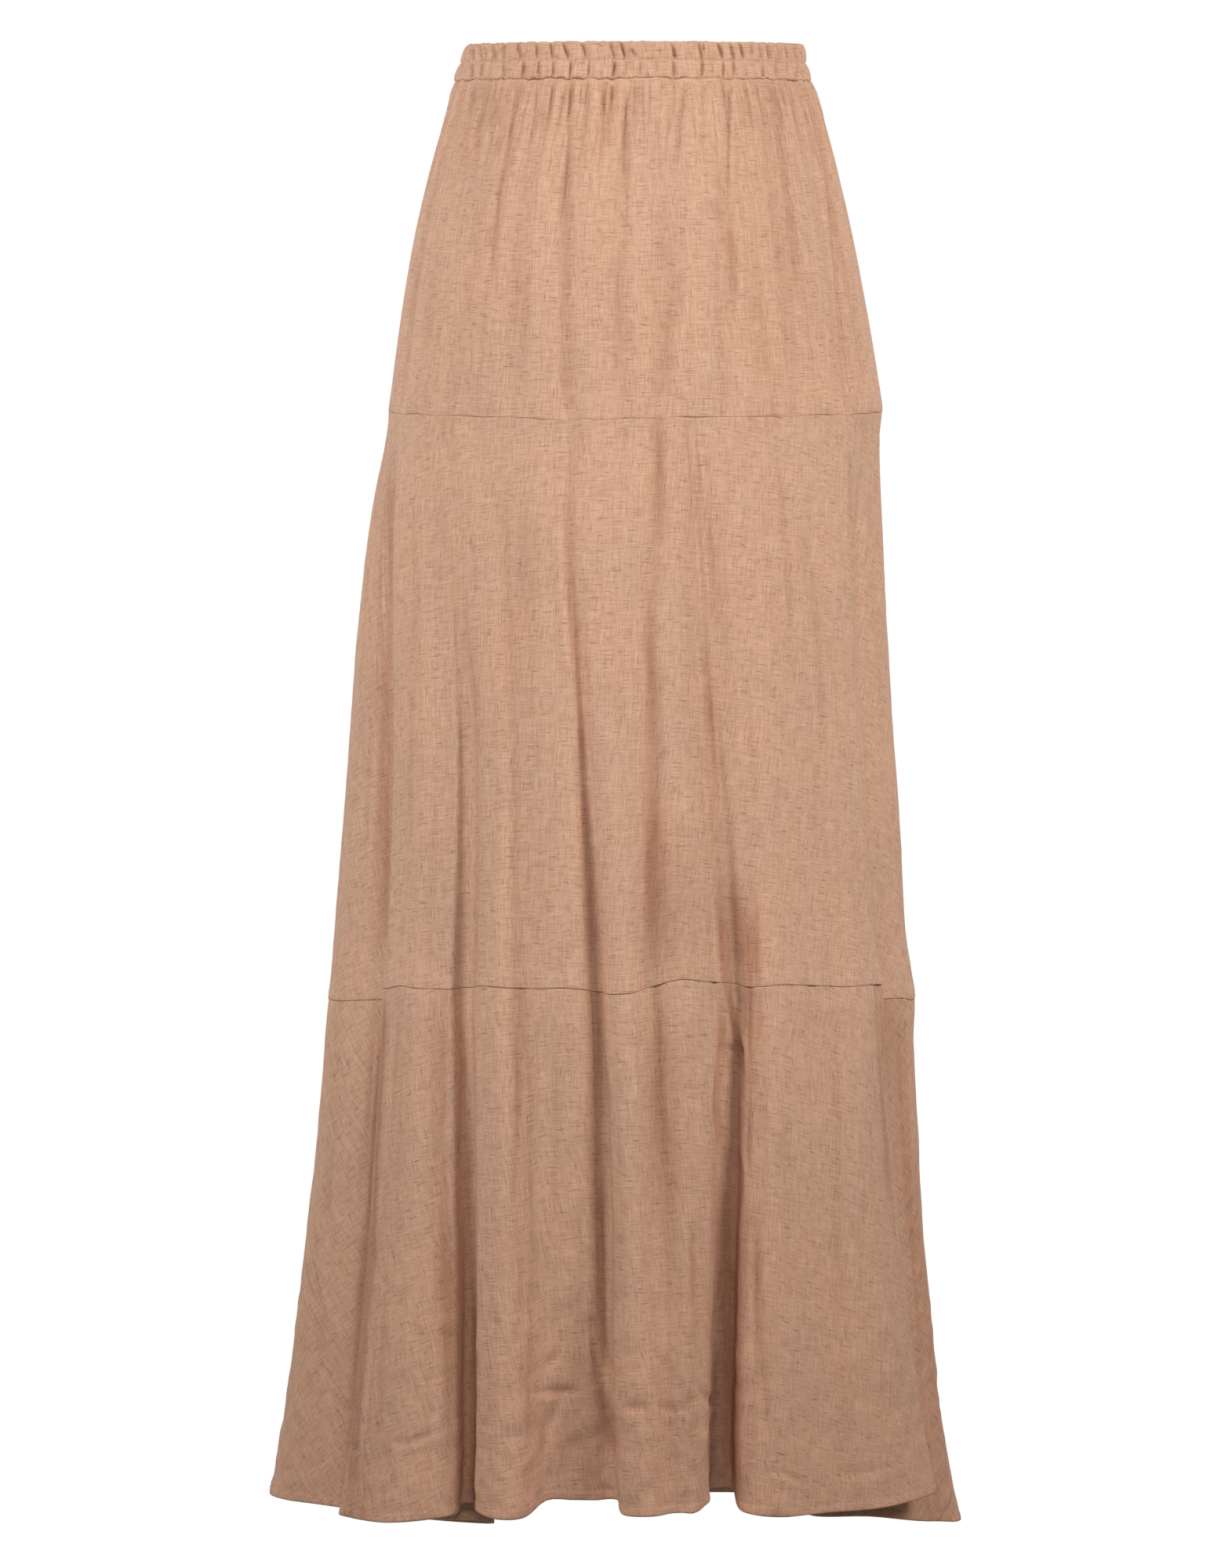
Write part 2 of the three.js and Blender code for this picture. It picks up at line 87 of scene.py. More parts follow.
# Rise of the front of seam 1: column of the photographed frame, height before its share
SEAM1_RISE = np.array([
    (496, 2), (584, 1), (664, 0), (694, -1.5), (725, -2.5), (745, 0), (800, 1), (900, 1.5), (1125, 2),
])
SEAM1_RISE_SHARE = 0.45

# Tiers 2 and 3: share of a fold's depth half way down tier 2, by its turn at seam 2, and the pitch of the
# columns at the hem
TIER2_DROP, TIER3_DROP = 386.0, 340.0
MID_SHARE = 0.6
MID_SHARE_FRONT = 0.3
MID_SHARE_TUCK = 0.8
SOFT_FRONT = (50, 145)
PITCH_FRONT = 2.3
PITCH_BACK = 4.2
PITCH_HIDDEN = 5.5

# Hem: depth of the turned-up cloth, relief of its sewn line, distance of the rows from the edge as a share
# of the tier, the wall's thickness and curl in the last rows, and the row that the stitches follow
HEM_DEPTH = 6.2
HEM_RELIEF = 0.3
HEM_SHARES = (0.026, 0.0235, 0.0205, 0.0175, 0.0155, 0.013, 0.0095, 0.006, 0.003, 0.001, 0)
HEM_THICKNESS = (0.9, 1.3, 1.6, 1.7, 1.7, 1.7, 1.6, 1.4, 0.6)
HEM_CURL = (0.12, 0.55)
HEM_STITCH_ROW = -8
HEM_STITCH = (2.9, 2.1, 0.2)
STITCH_SIDES = 5

# Creases: ridge beside a crease as a share of its depth, how many soft widths it reaches, and the length over
# which its ends die away, in pixels at the front and in mm at the back
RIDGE = 0.32
RIDGE_PLACE = 1.8
CREASE_REACH = 3.2
GROOVE_FADE, HIP_FADE, FOLD_FADE, SHADE_FADE = 3, 90, 55, 110
HIP_BACK_FADE, FOLD_BACK_FADE = 12, 16

# Uneven fields of the cloth: height, cell round and cell down, shift, seed
HIP_GATHERS = ((0.5, 4.4, 80, 3, 31), (0.4, 2.2, 45, 5, 32))
HIP_WAVES = ((0.35, 11, 75, 1, 33), (0.45, 34, 95, 1, 34))
# HIP_STREAKS makes streaks in the painted shade of the hip tier, not in its form
HIP_STREAKS = ((1, 5, 130, 0, 38), (0.6, 14, 160, 0, 39))
WAVES_2 = ((0.35, 12, 80, 0, 41), (0.5, 36, 110, 0, 42))
RIPPLES_2 = ((0.13, 6, 9, 0, 43),)
WAVES_3 = ((0.35, 12, 70, 0, 51), (0.6, 34, 90, 0, 52))
# STREAKS makes streaks in the painted shade of tiers 2 and 3, not in their form
STREAKS = ((1, 5.5, 90, 0, 61), (0.7, 13, 130, 0, 62), (0.8, 3, 70, 0, 63))

# Rumpled cloth: how far below the waist it starts to grow, in metres, growth a metre, and its least share
CRUMPLE_FROM, CRUMPLE_GROWTH, CRUMPLE_LEAST = 0.3, 1.3, 0.15

CLOTH_LIGHT = (0.69, 0.432, 0.298)
CLOTH_DARK = (0.520, 0.295, 0.188)
SLUB_DARK = (0.27, 0.145, 0.085)
# Colour that the painted shade multiplies the cloth towards: darker and warmer, in creases, folds, recesses
# and towards the hem
PAINTED_SHADE_TINT = (0.70, 0.58, 0.53)
THREAD_DARK = (0.40, 0.215, 0.13)
THREAD_LIGHT = (0.56, 0.32, 0.20)

# The photographed view: frame of 1571 x 2000, level, from the front
EYE = np.array([-11.6, -3600.0, -494.6])
FRAME_WIDTH, FRAME_HEIGHT = 1571, 2000
FOCAL = 6696.0
LENS, SENSOR = 120.5, 36.0

# Studio, in metres: radius and height of the floor, and each light's place, aim, width, power and colour
FLOOR_RADIUS, FLOOR_HEIGHT, FLOOR_CORNERS = 40, -1.2, 96
LIGHTS = (
    ("key", (1.5, -1.0, 0.4), (0, 0, -0.3), 0.8, 25.5, (1, 0.985, 0.965)),
    ("fill", (-1.5, -1.0, 0.4), (0, 0, -0.3), 0.8, 24, (1, 1, 1)),
    ("front", (0.1, -2.1, 0.5), (0, 0, -0.3), 0.7, 13, (1, 1, 1)),
    ("back_left", (-1.4, 2.0, 0.5), (0, 0, -0.4), 1.0, 26, (1, 1, 1)),
    ("back_right", (1.4, 2.2, 0.4), (0, 0, -0.4), 1.0, 20, (1, 1, 1)),
)

# Plain section: z, half width left and right, half depth front and back
SECTIONS = np.array([
    (25, 114.5, 115.8, 92, 92),
    (0, 118.6, 118.6, 94, 94),
    (-13, 122.4, 122.4, 97, 95),
    (-38, 128.5, 130.1, 105, 102),
    (-81, 140.4, 141.3, 116, 113),
    (-124, 150.6, 151.0, 125, 121),
    (-167, 158.1, 159.1, 132, 127),
    (-210, 163.5, 166.6, 137, 131),
    (-238, 166.6, 170.2, 140, 133),
    (-258, 168.8, 169.0, 142, 135),
    (-306, 178.0, 170.4, 149, 141),
    (-398, 188.8, 174.7, 159, 151),
    (-527, 198.4, 183.8, 171, 163),
    (-591, 203.3, 187.0, 177, 169),
    (-640, 208.0, 193.0, 182, 173),
    (-667, 210.0, 192.2, 184, 175),
    (-731, 215.6, 195.7, 190, 180),
    (-796, 222.1, 198.9, 196, 186),
    (-860, 230.1, 204.8, 203, 192),
    (-925, 238.2, 211.3, 210, 198),
    (-978, 247.9, 220.0, 218, 204),
    (-1010, 253.5, 226.5, 222, 207),
], dtype=float)

# Shallow folds of the hip tier: turn at the top and the bottom, depth
HIP_FOLDS = (
    (22, 20, 1.6), (36, 38, 1.9), (57, 60, 1.5), (69, 75, 2.4), (84, 85, 1.7),
    (105, 96, 2.6), (118, 113, 1.6), (137, 129, 1.9), (152, 147, 3.0),
    (205, 201, 2.2), (233, 230, 2.0), (262, 256, 2.5), (288, 290, 1.9), (321, 318, 2.3),
)

# Fold lines of tiers 2 and 3: turn at seam 1, half way down tier 2, at seam 2 and at the hem;
# distance from the plain section and height, at seam 2 and at the hem
FOLDS = np.array([
    (0, 0, 0, 0, 0, 0, -641, -981),
    (6, 15, 17, 17, 1, 1, -641, -976),
    (10, 28, 30, 31, -16, -26, -640, -978),
    (12, 30, 37, 45, -24, -47, -638, -981),
    (14, 32, 43, 61, -27, -54, -637, -982),
    (16, 35, 46, 63, -22, -48, -636, -981),
    (17, 36, 46, 62, -17, -42, -635, -979),
    (19, 33, 39, 50, -13, -29, -633, -979),
    (20, 32, 34, 38, -9, -12, -632, -978),
    (21, 32, 35, 37, -4, -5, -631, -978),
    (23, 35, 38, 41, 0, 1, -630, -978),
    (30, 44, 46, 51, 4, 6, -629, -977),
    (39, 49, 51, 57, -2, 0, -629, -974),
    (42, 52, 54, 61, -3, -8, -629, -970),
    (43, 53, 55, 60, -11, -25, -628, -965),
    (45, 55, 57, 62, -12, -27, -628, -965),
    (47, 57, 60, 65, -2, -4, -628, -967),
    (54, 62, 65, 69, 3, 3, -628, -970),
    (63, 67, 69, 73, -4, -2, -628, -969),
    (69, 72, 73, 76, 1, -14, -628, -959),
    (72, 75, 77, 80, 3, -22, -628, -959.5),
    (75, 78, 81, 84, 0, -25, -629, -959.5),
    (76, 79, 82, 85.5, -9, -26, -630, -959),
    (78, 80, 84, 87, -9, -22, -630, -959),
    (80, 82, 85.5, 88, -1, -4, -631, -966),
    (87, 87, 89, 93, 3, 4, -631, -967),
    (95, 94, 94, 97, -5, -3, -627, -966),
    (99, 99, 99, 100, 3, 2, -623, -965),
    (101, 103, 105, 103, -1, -5, -624, -961),
    (102, 106, 109, 106, -8, -30, -625, -955),
    (104, 108, 112, 110, -9, -32, -626, -955),
    (106, 110, 113, 109, -2, -4, -627, -966),
    (116, 119, 119, 116, 4, 6, -627, -969),
    (128, 131, 130, 127, -3, -2, -628, -971),
    (138, 139, 138, 137, 2, 4, -628, -971),
    (147, 146, 148, 154, 0, 1, -628, -970),
    (151, 150.5, 152, 162, -4, -5, -629, -970),
    (153, 151.5, 153, 163, -9, -12, -630, -971),
    (155, 149.5, 150, 145, -13, -27, -632, -973),
    (157, 148.5, 146, 131, -17, -37, -634, -973),
    (159, 149, 146, 130, -22, -43, -635, -973),
    (160, 153, 150, 133, -27, -49, -636, -979),
    (162, 156.5, 158, 152, -23, -42, -638, -986),
    (164, 161, 164, 168, -14, -20, -640, -995),
    (171, 171, 172, 174, -2, -3, -641, -997),
    (180, 180, 180, 180, 0, 0, -641, -999.5),
    (190, 190, 190, 189, 0, -1, -642, -1002),
    (203, 204, 204, 203, -13, -30, -643, -1001),
    (216, 217, 218, 219, 2, 4, -645, -1007),
    (229, 230, 231, 232, -9, -21, -646, -1004),
    (242, 242, 243, 244, 1, 3, -647, -1007),
    (253, 254, 255, 257, -14, -33, -648, -1003),
    (267, 268, 269, 270, 3, 5, -648, -1007),
    (281, 281, 282, 283, -8, -19, -647, -1003),
    (293, 294, 295, 295, 2, 2, -646, -1003),
    (306, 307, 307, 308, -14, -31, -645, -998),
    (320, 321, 321, 321, 2, 3, -643, -996),
    (334, 334, 335, 336, -10, -22, -642, -989),
    (348, 347, 348, 349, -1, -2, -641, -985),
], dtype=float)
RIGHT_SIDE = 45

# Creases of the front, placed by column and row of the photographed frame: depth in mm, inward
# (a ridge is below 0), soft width in pixels to the left and the right, and places from start to end
CREASES_1 = (
    (0.88, 2.6, 3.5, (597, 10), (592, 106), (580, 170), (565, 250)),
    (0.97, 2.6, 3.5, (607, 10), (604, 106), (597, 160), (590, 215), (584, 290)),
    (1.27, 2.6, 4.4, (624, 10), (620, 104), (611, 160), (605, 215), (602, 300)),
    (0.68, 2.6, 3.5, (636, 10), (634, 104), (629, 150), (622, 230)),
    (1.6, 3.2, 5.3, (665, 10), (662, 104), (654, 142), (646, 202), (637, 240), (629, 330), (626, 400)),
    (0.76, 2.6, 3.5, (684, 10), (683, 104), (680, 140), (674, 190)),
    (1.52, 2.6, 4.4, (706, 10), (705, 104), (702, 131), (697, 180)),
    (1.77, 3.5, 4.4, (728, 10), (727, 104), (725, 200), (719, 300)),
    (1.5, 8, 9, (722, 180), (719, 300), (718, 400), (722, 540), (723, 570)),
    (1.01, 3.5, 4.4, (747, 10), (748, 104), (750, 140), (744, 220)),
    (1.14, 2.6, 4.4, (764, 10), (766, 104), (771, 150), (763, 225), (765, 260)),
    (1.77, 3.5, 4.4, (785, 10), (783, 104), (777, 150), (770, 235)),
    (1.52, 2.6, 4.4, (807, 10), (804, 104), (797, 140), (794, 190), (796, 290)),
    (0.76, 2.6, 3.5, (821, 10), (822, 104), (824, 150)),
    (0.76, 2.6, 3.5, (846, 10), (846, 104), (845, 160)),
    (1.52, 3.5, 5.3, (877, 10), (874, 104), (867, 156), (862, 220), (864, 281)),
    (1.6, 9, 9, (864, 230), (865, 300), (862, 380), (852, 430), (845, 540), (843, 570)),
    (1.27, 2.6, 3.5, (900, 10), (898, 108), (893, 155)),
    (0.76, 2.6, 3.5, (913, 10), (912, 104), (910, 150)),
    (1.4, 2.6, 3.5, (931, 10), (930, 104), (928, 166), (928, 231), (932, 300)),
    (1.82, 7, 7, (928, 250), (934, 330), (934, 430)),
    (0.88, 2.6, 3.5, (946, 10), (948, 104), (952, 160)),
    (1.9, 2.3, 3.5, (959, 10), (963, 110), (972, 140), (977, 190), (978, 240)),
    (1.01, 2.6, 3.5, (984, 10), (985, 104), (988, 150)),
    (1.5, 6.6, 6.6, (990, 10), (992, 110), (996, 188), (1006, 274), (1013, 345), (1012, 430)),
    (0.68, 2.6, 2.6, (1008, 10), (1010, 104), (1015, 170)),
    (1.94, 2.3, 5.3, (1019, 10), (1025, 106), (1040, 166), (1054, 220), (1061, 291), (1067, 363),
     (1074, 452), (1079, 530)),
    (0.97, 3.5, 4.4, (1024, 10), (1034, 112), (1058, 230), (1076, 330), (1094, 430), (1110, 535)),
    (0.91, 8, 8, (660, 300), (668, 400), (672, 520)),
    (0.91, 9, 9, (776, 300), (786, 400), (790, 500)),
    (0.8, 9, 9, (560, 300), (548, 400), (540, 500)),
    (0.91, 8, 8, (960, 320), (972, 420), (980, 520)),
)
CREASES_2 = (
    (0.5, 6, 8, (566, 480), (566, 540), (577, 600), (597, 700), (603, 800)),
    (0.4, 8, 8, (540, 560), (560, 650), (586, 760), (592, 860)),
    (0.6, 8, 6, (590, 760), (603, 900), (606, 1080), (604, 1258), (604, 1318)),
    (0.9, 9, 9, (640, 620), (648, 820), (656, 1000), (664, 1262), (664, 1322)),
    (1.0, 4, 10, (728, 505), (727, 538), (725, 590), (720, 664), (723, 730), (730, 805), (739, 897),
     (744, 1000)),
    (0.9, 7, 12, (742, 900), (744, 1000), (746, 1130), (750, 1262), (750, 1322)),
    (-0.4, 5, 5, (716, 560), (711, 664), (714, 760), (724, 870)),
    (1.6, 8, 9, (838, 505), (838, 535), (837, 744), (829, 805), (832, 897), (833, 995), (829, 1120),
     (826, 1260), (826, 1320)),
    (0.7, 14, 16, (882, 475), (882, 535), (893, 700), (898, 897)),
    (1.0, 14, 12, (902, 860), (914, 1040), (924, 1160), (930, 1258), (930, 1318)),
    (0.8, 2.5, 3, (918, 1140), (922, 1200), (926, 1256), (926, 1316)),
    (1.1, 2.5, 3, (953, 1130), (955, 1190), (957, 1258), (957, 1318)),
    (0.9, 12, 3, (960, 1020), (965, 1150), (970, 1256), (970, 1316)),
    (1, 4, 6, (1084, 560), (1088, 701), (1096, 897), (1112, 1114), (1122, 1220)),
    (0.8, 5, 5, (1108, 485), (1108, 545), (1114, 760), (1128, 960), (1142, 1150)),
    (0.7, 9, 9, (990, 560), (1004, 720), (1010, 900)),
    (0.6, 9, 9, (1040, 700), (1046, 900), (1042, 1100)),
    (0.7, 8, 8, (780, 640), (784, 800), (790, 960)),
    (0.7, 4, 5, (470, 700), (464, 820), (457, 1000)),
    (0.6, 4, 5, (486, 640), (478, 800), (470, 1000), (462, 1200)),
    (0.7, 6, 6, (522, 620), (530, 760), (524, 900), (520, 1100)),
    (0.5, 6, 6, (558, 980), (552, 1100), (548, 1250), (548, 1310)),
    (0.5, 3, 4, (612, 610), (626, 603), (640, 601)),
    (0.5, 3, 4, (610, 632), (622, 634), (634, 630)),
)
CREASES_3 = (
    (1.0, 4.6, 4.6, (588, 1290), (591, 1400), (584, 1500), (586, 1600)),
    (0.7, 4.6, 4.6, (598, 1330), (602, 1430), (598, 1560)),
    (1.3, 8, 8, (665, 1204), (665, 1264), (668, 1400), (670, 1560), (668, 1700), (676, 1850)),
    (1.29, 4.1, 4.1, (657, 1290), (660, 1420), (655, 1560)),
    (1.29, 4.1, 4.1, (682, 1300), (677, 1500), (685, 1700)),
    (0.9, 9, 6, (760, 1204), (760, 1264), (767, 1349), (780, 1425), (789, 1500), (791, 1600), (788, 1700)),
    (0.9, 4.1, 4.1, (747, 1204), (747, 1264), (749, 1400), (752, 1520)),
    (1.66, 4.1, 4.1, (765, 1500), (768, 1640), (776, 1760)),
    (1.47, 4.1, 4.1, (751, 1640), (757, 1720), (772, 1790), (784, 1880)),
    (1.29, 4.1, 4.1, (738, 1500), (741, 1650), (744, 1780)),
    (1.3, 10, 9, (835, 1208), (835, 1268), (842, 1400), (850, 1480), (857, 1605), (866, 1720)),
    (0.9, 8, 8, (880, 1290), (884, 1420), (890, 1560), (880, 1700)),
    (2.02, 3.4, 4.1, (926, 1202), (926, 1262), (931, 1285), (942, 1337), (947, 1400)),
    (1.3, 4.6, 4.6, (957, 1200), (957, 1260), (955, 1334), (959, 1380), (954, 1441), (953, 1520)),
    (2.02, 4.1, 5.4, (913, 1212), (913, 1272), (920, 1334), (914, 1410), (923, 1487)),
    (1.66, 3.4, 4.1, (914, 1347), (930, 1335), (944, 1339), (948, 1354)),
    (1.66, 4.1, 4.1, (936, 1450), (944, 1500), (941, 1580)),
    (1.29, 4.1, 4.1, (930, 1600), (935, 1700), (929, 1800)),
    (2.58, 4.1, 6.8, (963, 1560), (966, 1640), (967, 1720), (975, 1774), (981, 1850)),
    (0.7, 7, 7, (1064, 1280), (1066, 1500), (1069, 1700)),
    (1.1, 6.8, 6.8, (1036, 1210), (1036, 1270), (1030, 1450)),
    (0.6, 7, 7, (1100, 1500), (1106, 1700), (1100, 1860)),
    (1.47, 6.8, 6.8, (1122, 1210), (1122, 1270), (1126, 1400), (1136, 1550)),
    (1.47, 5.4, 5.4, (1142, 1290), (1150, 1450), (1164, 1600), (1181, 1750), (1200, 1880)),
    (1.66, 4.1, 5.4, (972, 1870), (1000, 1880), (1023, 1889), (1044, 1891)),
    (1.1, 5.4, 5.4, (1044, 1880), (1100, 1880), (1160, 1862)),
    (1.29, 5.4, 6.8, (398, 1600), (408, 1700), (424, 1790)),
    (1.84, 4.1, 5.4, (424, 1790), (440, 1798), (462, 1801)),
    (1.47, 4.1, 4.1, (438, 1846), (450, 1850), (461, 1848)),
    (0.8, 8, 8, (478, 1560), (480, 1700), (484, 1860)),
    (1.47, 4.1, 5.4, (486, 1842), (520, 1839), (556, 1828), (582, 1806)),
    (1.1, 4.1, 4.1, (478, 1918), (498, 1896), (512, 1880)),
    (1.47, 5.4, 5.4, (660, 1778), (700, 1775), (740, 1774), (760, 1779)),
    (2.02, 5.4, 6.8, (686, 1880), (694, 1825), (708, 1792), (728, 1766)),
    (1.66, 4.1, 5.4, (694, 1747), (703, 1734), (714, 1721)),
    (2.21, 5.4, 6.8, (752, 1770), (768, 1784), (781, 1820), (788, 1890)),
    (1.84, 4.1, 4.1, (758, 1884), (770, 1897), (786, 1908)),
    (1.84, 4.1, 4.1, (882, 1752), (896, 1775), (908, 1788), (928, 1807)),
    (1.47, 5.4, 5.4, (828, 1786), (850, 1796), (868, 1798), (880, 1786), (887, 1768)),
    (1.1, 6.8, 6.8, (790, 1798), (815, 1794), (835, 1797)),
    (1.47, 4.1, 4.1, (606, 1815), (618, 1818), (632, 1825)),
    (1.29, 4.1, 4.1, (604, 1848), (614, 1850), (622, 1854)),
    (0.6, 6, 6, (700, 1300), (706, 1440), (704, 1600)),
    (0.6, 6, 6, (520, 1300), (512, 1450), (508, 1600), (506, 1760)),
    (1.1, 6.8, 8.1, (432, 1300), (424, 1450), (414, 1600)),
    (0.6, 6, 6, (1000, 1400), (1004, 1560), (1012, 1700)),
)
# Painted shade, darker and warmer, in the recesses and along fold edges: strength, then as above
SHADES_2 = (
    (0.32, 4, 13, (728, 505), (727, 538), (725, 590), (720, 664), (723, 730), (730, 805), (739, 897),
     (744, 1000), (747, 1130), (750, 1290)),
    (0.5, 14, 5, (501, 530), (498, 640), (495, 800), (493, 1000), (492, 1290)),
    (0.3, 11, 12, (838, 505), (837, 744), (829, 805), (832, 897), (833, 995), (829, 1120), (826, 1290)),
    (0.3, 20, 24, (885, 520), (896, 700), (905, 900), (915, 1010)),
    (0.22, 34, 16, (930, 820), (944, 960), (956, 1100)),
    (0.65, 42, 8, (956, 1080), (961, 1160), (966, 1300)),
    (0.35, 30, 30, (842, 1000), (856, 1200), (876, 1290)),
    (0.15, 8, 8, (600, 780), (606, 1080), (604, 1290)),
    (0.2, 16, 16, (668, 560), (676, 800), (684, 1000)),
)
SHADES_3 = (
    (0.34, 50, 8, (966, 1180), (971, 1350), (974, 1420), (974, 1640)),
    (0.6, 20, 36, (930, 1500), (936, 1640), (940, 1800), (946, 2010)),
    (0.5, 14, 14, (566, 1540), (568, 1700), (570, 2010)),
    (0.34, 20, 24, (672, 1480), (674, 1700), (676, 2010)),
    (0.25, 16, 16, (886, 1520), (890, 1800), (893, 2010)),
    (0.8, 5, 24, (488, 1240), (480, 1380), (470, 1511), (464, 1640), (455, 1798), (440, 2010)),
    (0.26, 34, 20, (1134, 1200), (1150, 1450), (1168, 1600), (1190, 1800), (1212, 2010)),
    (0.18, 34, 6, (598, 1420), (603, 1640), (603, 1787), (600, 1990)),
    (0.45, 11, 11, (562, 1240), (562, 1500), (568, 1700), (566, 1860)),
    (0.2, 14, 14, (752, 1200), (764, 1400), (772, 1600), (776, 1800), (778, 1900)),
    (0.2, 12, 6, (934, 1560), (937, 1700), (938, 1960)),
    (0.3, 25, 20, (840, 1240), (850, 1480), (857, 1605)),
    (0.1, 34, 20, (738, 1600), (746, 1780), (752, 1960)),
    (1.0, 12, 3, (492, 1240), (492, 1262), (484, 1380), (474, 1511), (468, 1640), (461, 1798), (446, 1940)),
    (0.25, 12, 12, (668, 1264), (670, 1500), (672, 1700)),
)
# Grooves of the band's upper and lower channel
GROOVES_TOP = (
    (0.9, 1.6, 2.4, (592, 52), (590, 80)),
    (1.1, 1.6, 2.6, (600, 51), (602, 80)),
    (0.9, 1.5, 2.2, (610, 50), (614, 80)),
    (0.7, 1.5, 2.2, (617, 50), (618, 80)),
    (1.3, 1.5, 3.4, (626, 50), (630, 79)),
    (1.0, 1.5, 3.2, (641, 50), (642, 78)),
    (1.3, 1.5, 3.8, (659, 48), (660, 60), (664, 78)),
    (1.3, 1.5, 3.8, (682, 48), (685, 78)),
    (1.1, 1.5, 3.4, (700, 48), (705, 78)),
    (1.4, 1.5, 4.0, (715, 48), (720, 64), (726, 78)),
    (1.2, 1.5, 4.0, (736, 48), (744, 62), (748, 78)),
    (0.6, 2.0, 3.0, (762, 48), (764, 62)),
    (1.2, 1.5, 3.6, (776, 48), (783, 78)),
    (1.4, 1.5, 3.8, (789, 48), (798, 78)),
    (0.9, 1.5, 3.0, (804, 62), (815, 78)),
    (0.7, 1.5, 3.0, (822, 48), (824, 70)),
    (0.6, 1.8, 3.0, (838, 60), (845, 76)),
    (1.2, 1.5, 3.6, (854, 48), (861, 77)),
    (1.3, 1.5, 3.0, (889, 46), (895, 77)),
    (0.8, 1.4, 2.4, (896, 46), (897, 66)),
    (1.4, 1.5, 3.6, (913, 46), (922, 77)),
    (1.2, 1.4, 3.0, (928, 46), (936, 77)),
    (1.4, 1.4, 3.2, (941, 46), (949, 77)),
    (0.7, 1.4, 2.4, (956, 46), (960, 70)),
    (1.3, 1.4, 2.8, (967, 46), (972, 77)),
    (1.2, 1.4, 2.6, (977, 46), (981, 77)),
    (0.9, 1.4, 2.4, (990, 48), (993, 78)),
    (1.0, 1.4, 2.4, (1001, 50), (1006, 78)),
    (1.0, 1.4, 2.4, (1012, 52), (1016, 80)),
    (0.9, 1.4, 2.2, (1022, 56), (1024, 82)),
)
GROOVES_LOW = (
    (1.0, 1.6, 2.4, (589, 80), (586, 108)),
    (1.1, 1.6, 2.6, (600, 80), (601, 106)),
    (0.9, 1.6, 2.2, (614, 78), (611, 104)),
    (0.6, 1.6, 2.2, (624, 78), (625, 104)),
    (1.2, 1.5, 3.4, (641, 77), (641, 103)),
    (1.2, 1.5, 3.8, (667, 76), (665, 103)),
    (1.2, 1.5, 3.6, (686, 76), (686, 102)),
    (1.4, 1.5, 3.6, (705, 76), (704, 102)),
    (1.3, 1.5, 3.8, (727, 76), (726, 102)),
    (1.1, 1.5, 3.6, (750, 76), (750, 101)),
    (0.5, 1.8, 3.0, (766, 76), (766, 101)),
    (1.0, 1.5, 3.6, (784, 75), (780, 101)),
    (0.7, 1.5, 3.0, (798, 75), (797, 101)),
    (0.7, 1.5, 3.0, (817, 75), (815, 101)),
    (0.5, 1.8, 3.0, (838, 75), (836, 101)),
    (0.8, 1.5, 3.2, (858, 75), (859, 101)),
    (1.2, 1.5, 3.4, (895, 74), (894, 100)),
    (0.6, 1.5, 2.6, (908, 74), (909, 100)),
    (1.0, 1.4, 3.0, (923, 74), (922, 100)),
    (1.1, 1.4, 3.0, (935, 74), (936, 100)),
    (0.6, 1.4, 2.6, (951, 74), (952, 100)),
    (1.1, 1.4, 2.8, (973, 74), (973, 100)),
    (0.9, 1.4, 2.6, (990, 74), (990, 101)),
    (0.8, 1.4, 2.4, (1004, 76), (1004, 102)),
    (1.1, 1.4, 2.4, (1017, 78), (1018, 104)),
    (1.0, 1.4, 2.2, (1024, 78), (1026, 106)),
)
# Creases of the back: depth, soft widths, and places by x and z in mm
BACK_1 = (
    (1.3, 2.0, 3.4, (-112, -8), (-122, -50), (-134, -110)),
    (1.0, 2.0, 3.2, (-100, -7), (-108, -60), (-116, -150)),
    (1.4, 2.0, 3.6, (-86, -6), (-92, -40), (-100, -120), (-108, -200)),
    (0.8, 1.8, 2.6, (-74, -5), (-78, -50)),
    (1.5, 2.2, 3.8, (-60, -5), (-64, -60), (-74, -150), (-78, -230)),
    (0.9, 1.8, 2.6, (-48, -5), (-51, -70)),
    (1.2, 2.0, 3.2, (-35, -5), (-37, -50), (-40, -120)),
    (0.8, 1.8, 2.6, (-24, -5), (-24, -60)),
    (1.6, 2.2, 4.0, (-11, -4), (-13, -70), (-18, -150), (-16, -236)),
    (0.9, 1.8, 2.8, (2, -4), (4, -60)),
    (1.2, 2.0, 3.0, (15, -4), (18, -50), (20, -130)),
    (0.8, 1.8, 2.6, (28, -5), (31, -80)),
    (1.4, 2.0, 3.6, (40, -5), (44, -60), (50, -140), (52, -210)),
    (0.9, 1.8, 2.8, (54, -5), (58, -70)),
    (1.2, 2.0, 3.0, (67, -5), (73, -60), (80, -120)),
    (1.5, 2.2, 3.6, (80, -6), (88, -60), (100, -150), (106, -230)),
    (0.8, 1.8, 2.6, (92, -6), (98, -60)),
    (1.2, 2.0, 3.0, (104, -7), (112, -60), (124, -130)),
)
BACK_2 = (
    (1.2, 5.0, 7.0, (-118, -250), (-124, -380), (-134, -520), (-140, -640)),
    (0.8, 4.0, 5.0, (-84, -250), (-90, -330), (-92, -430)),
    (1.3, 6.0, 5.0, (-34, -252), (-40, -400), (-44, -520)),
    (0.7, 4.0, 5.0, (-6, -260), (-4, -350)),
    (1.1, 5.0, 6.0, (26, -252), (30, -380), (24, -500), (22, -644)),
    (0.8, 4.0, 4.0, (60, -260), (66, -340), (64, -450)),
    (1.3, 5.0, 6.0, (96, -252), (104, -400), (112, -540), (116, -640)),
    (0.6, 3.0, 3.0, (-70, -560), (-76, -640)),
    (0.7, 3.0, 3.0, (70, -540), (76, -640)),
)
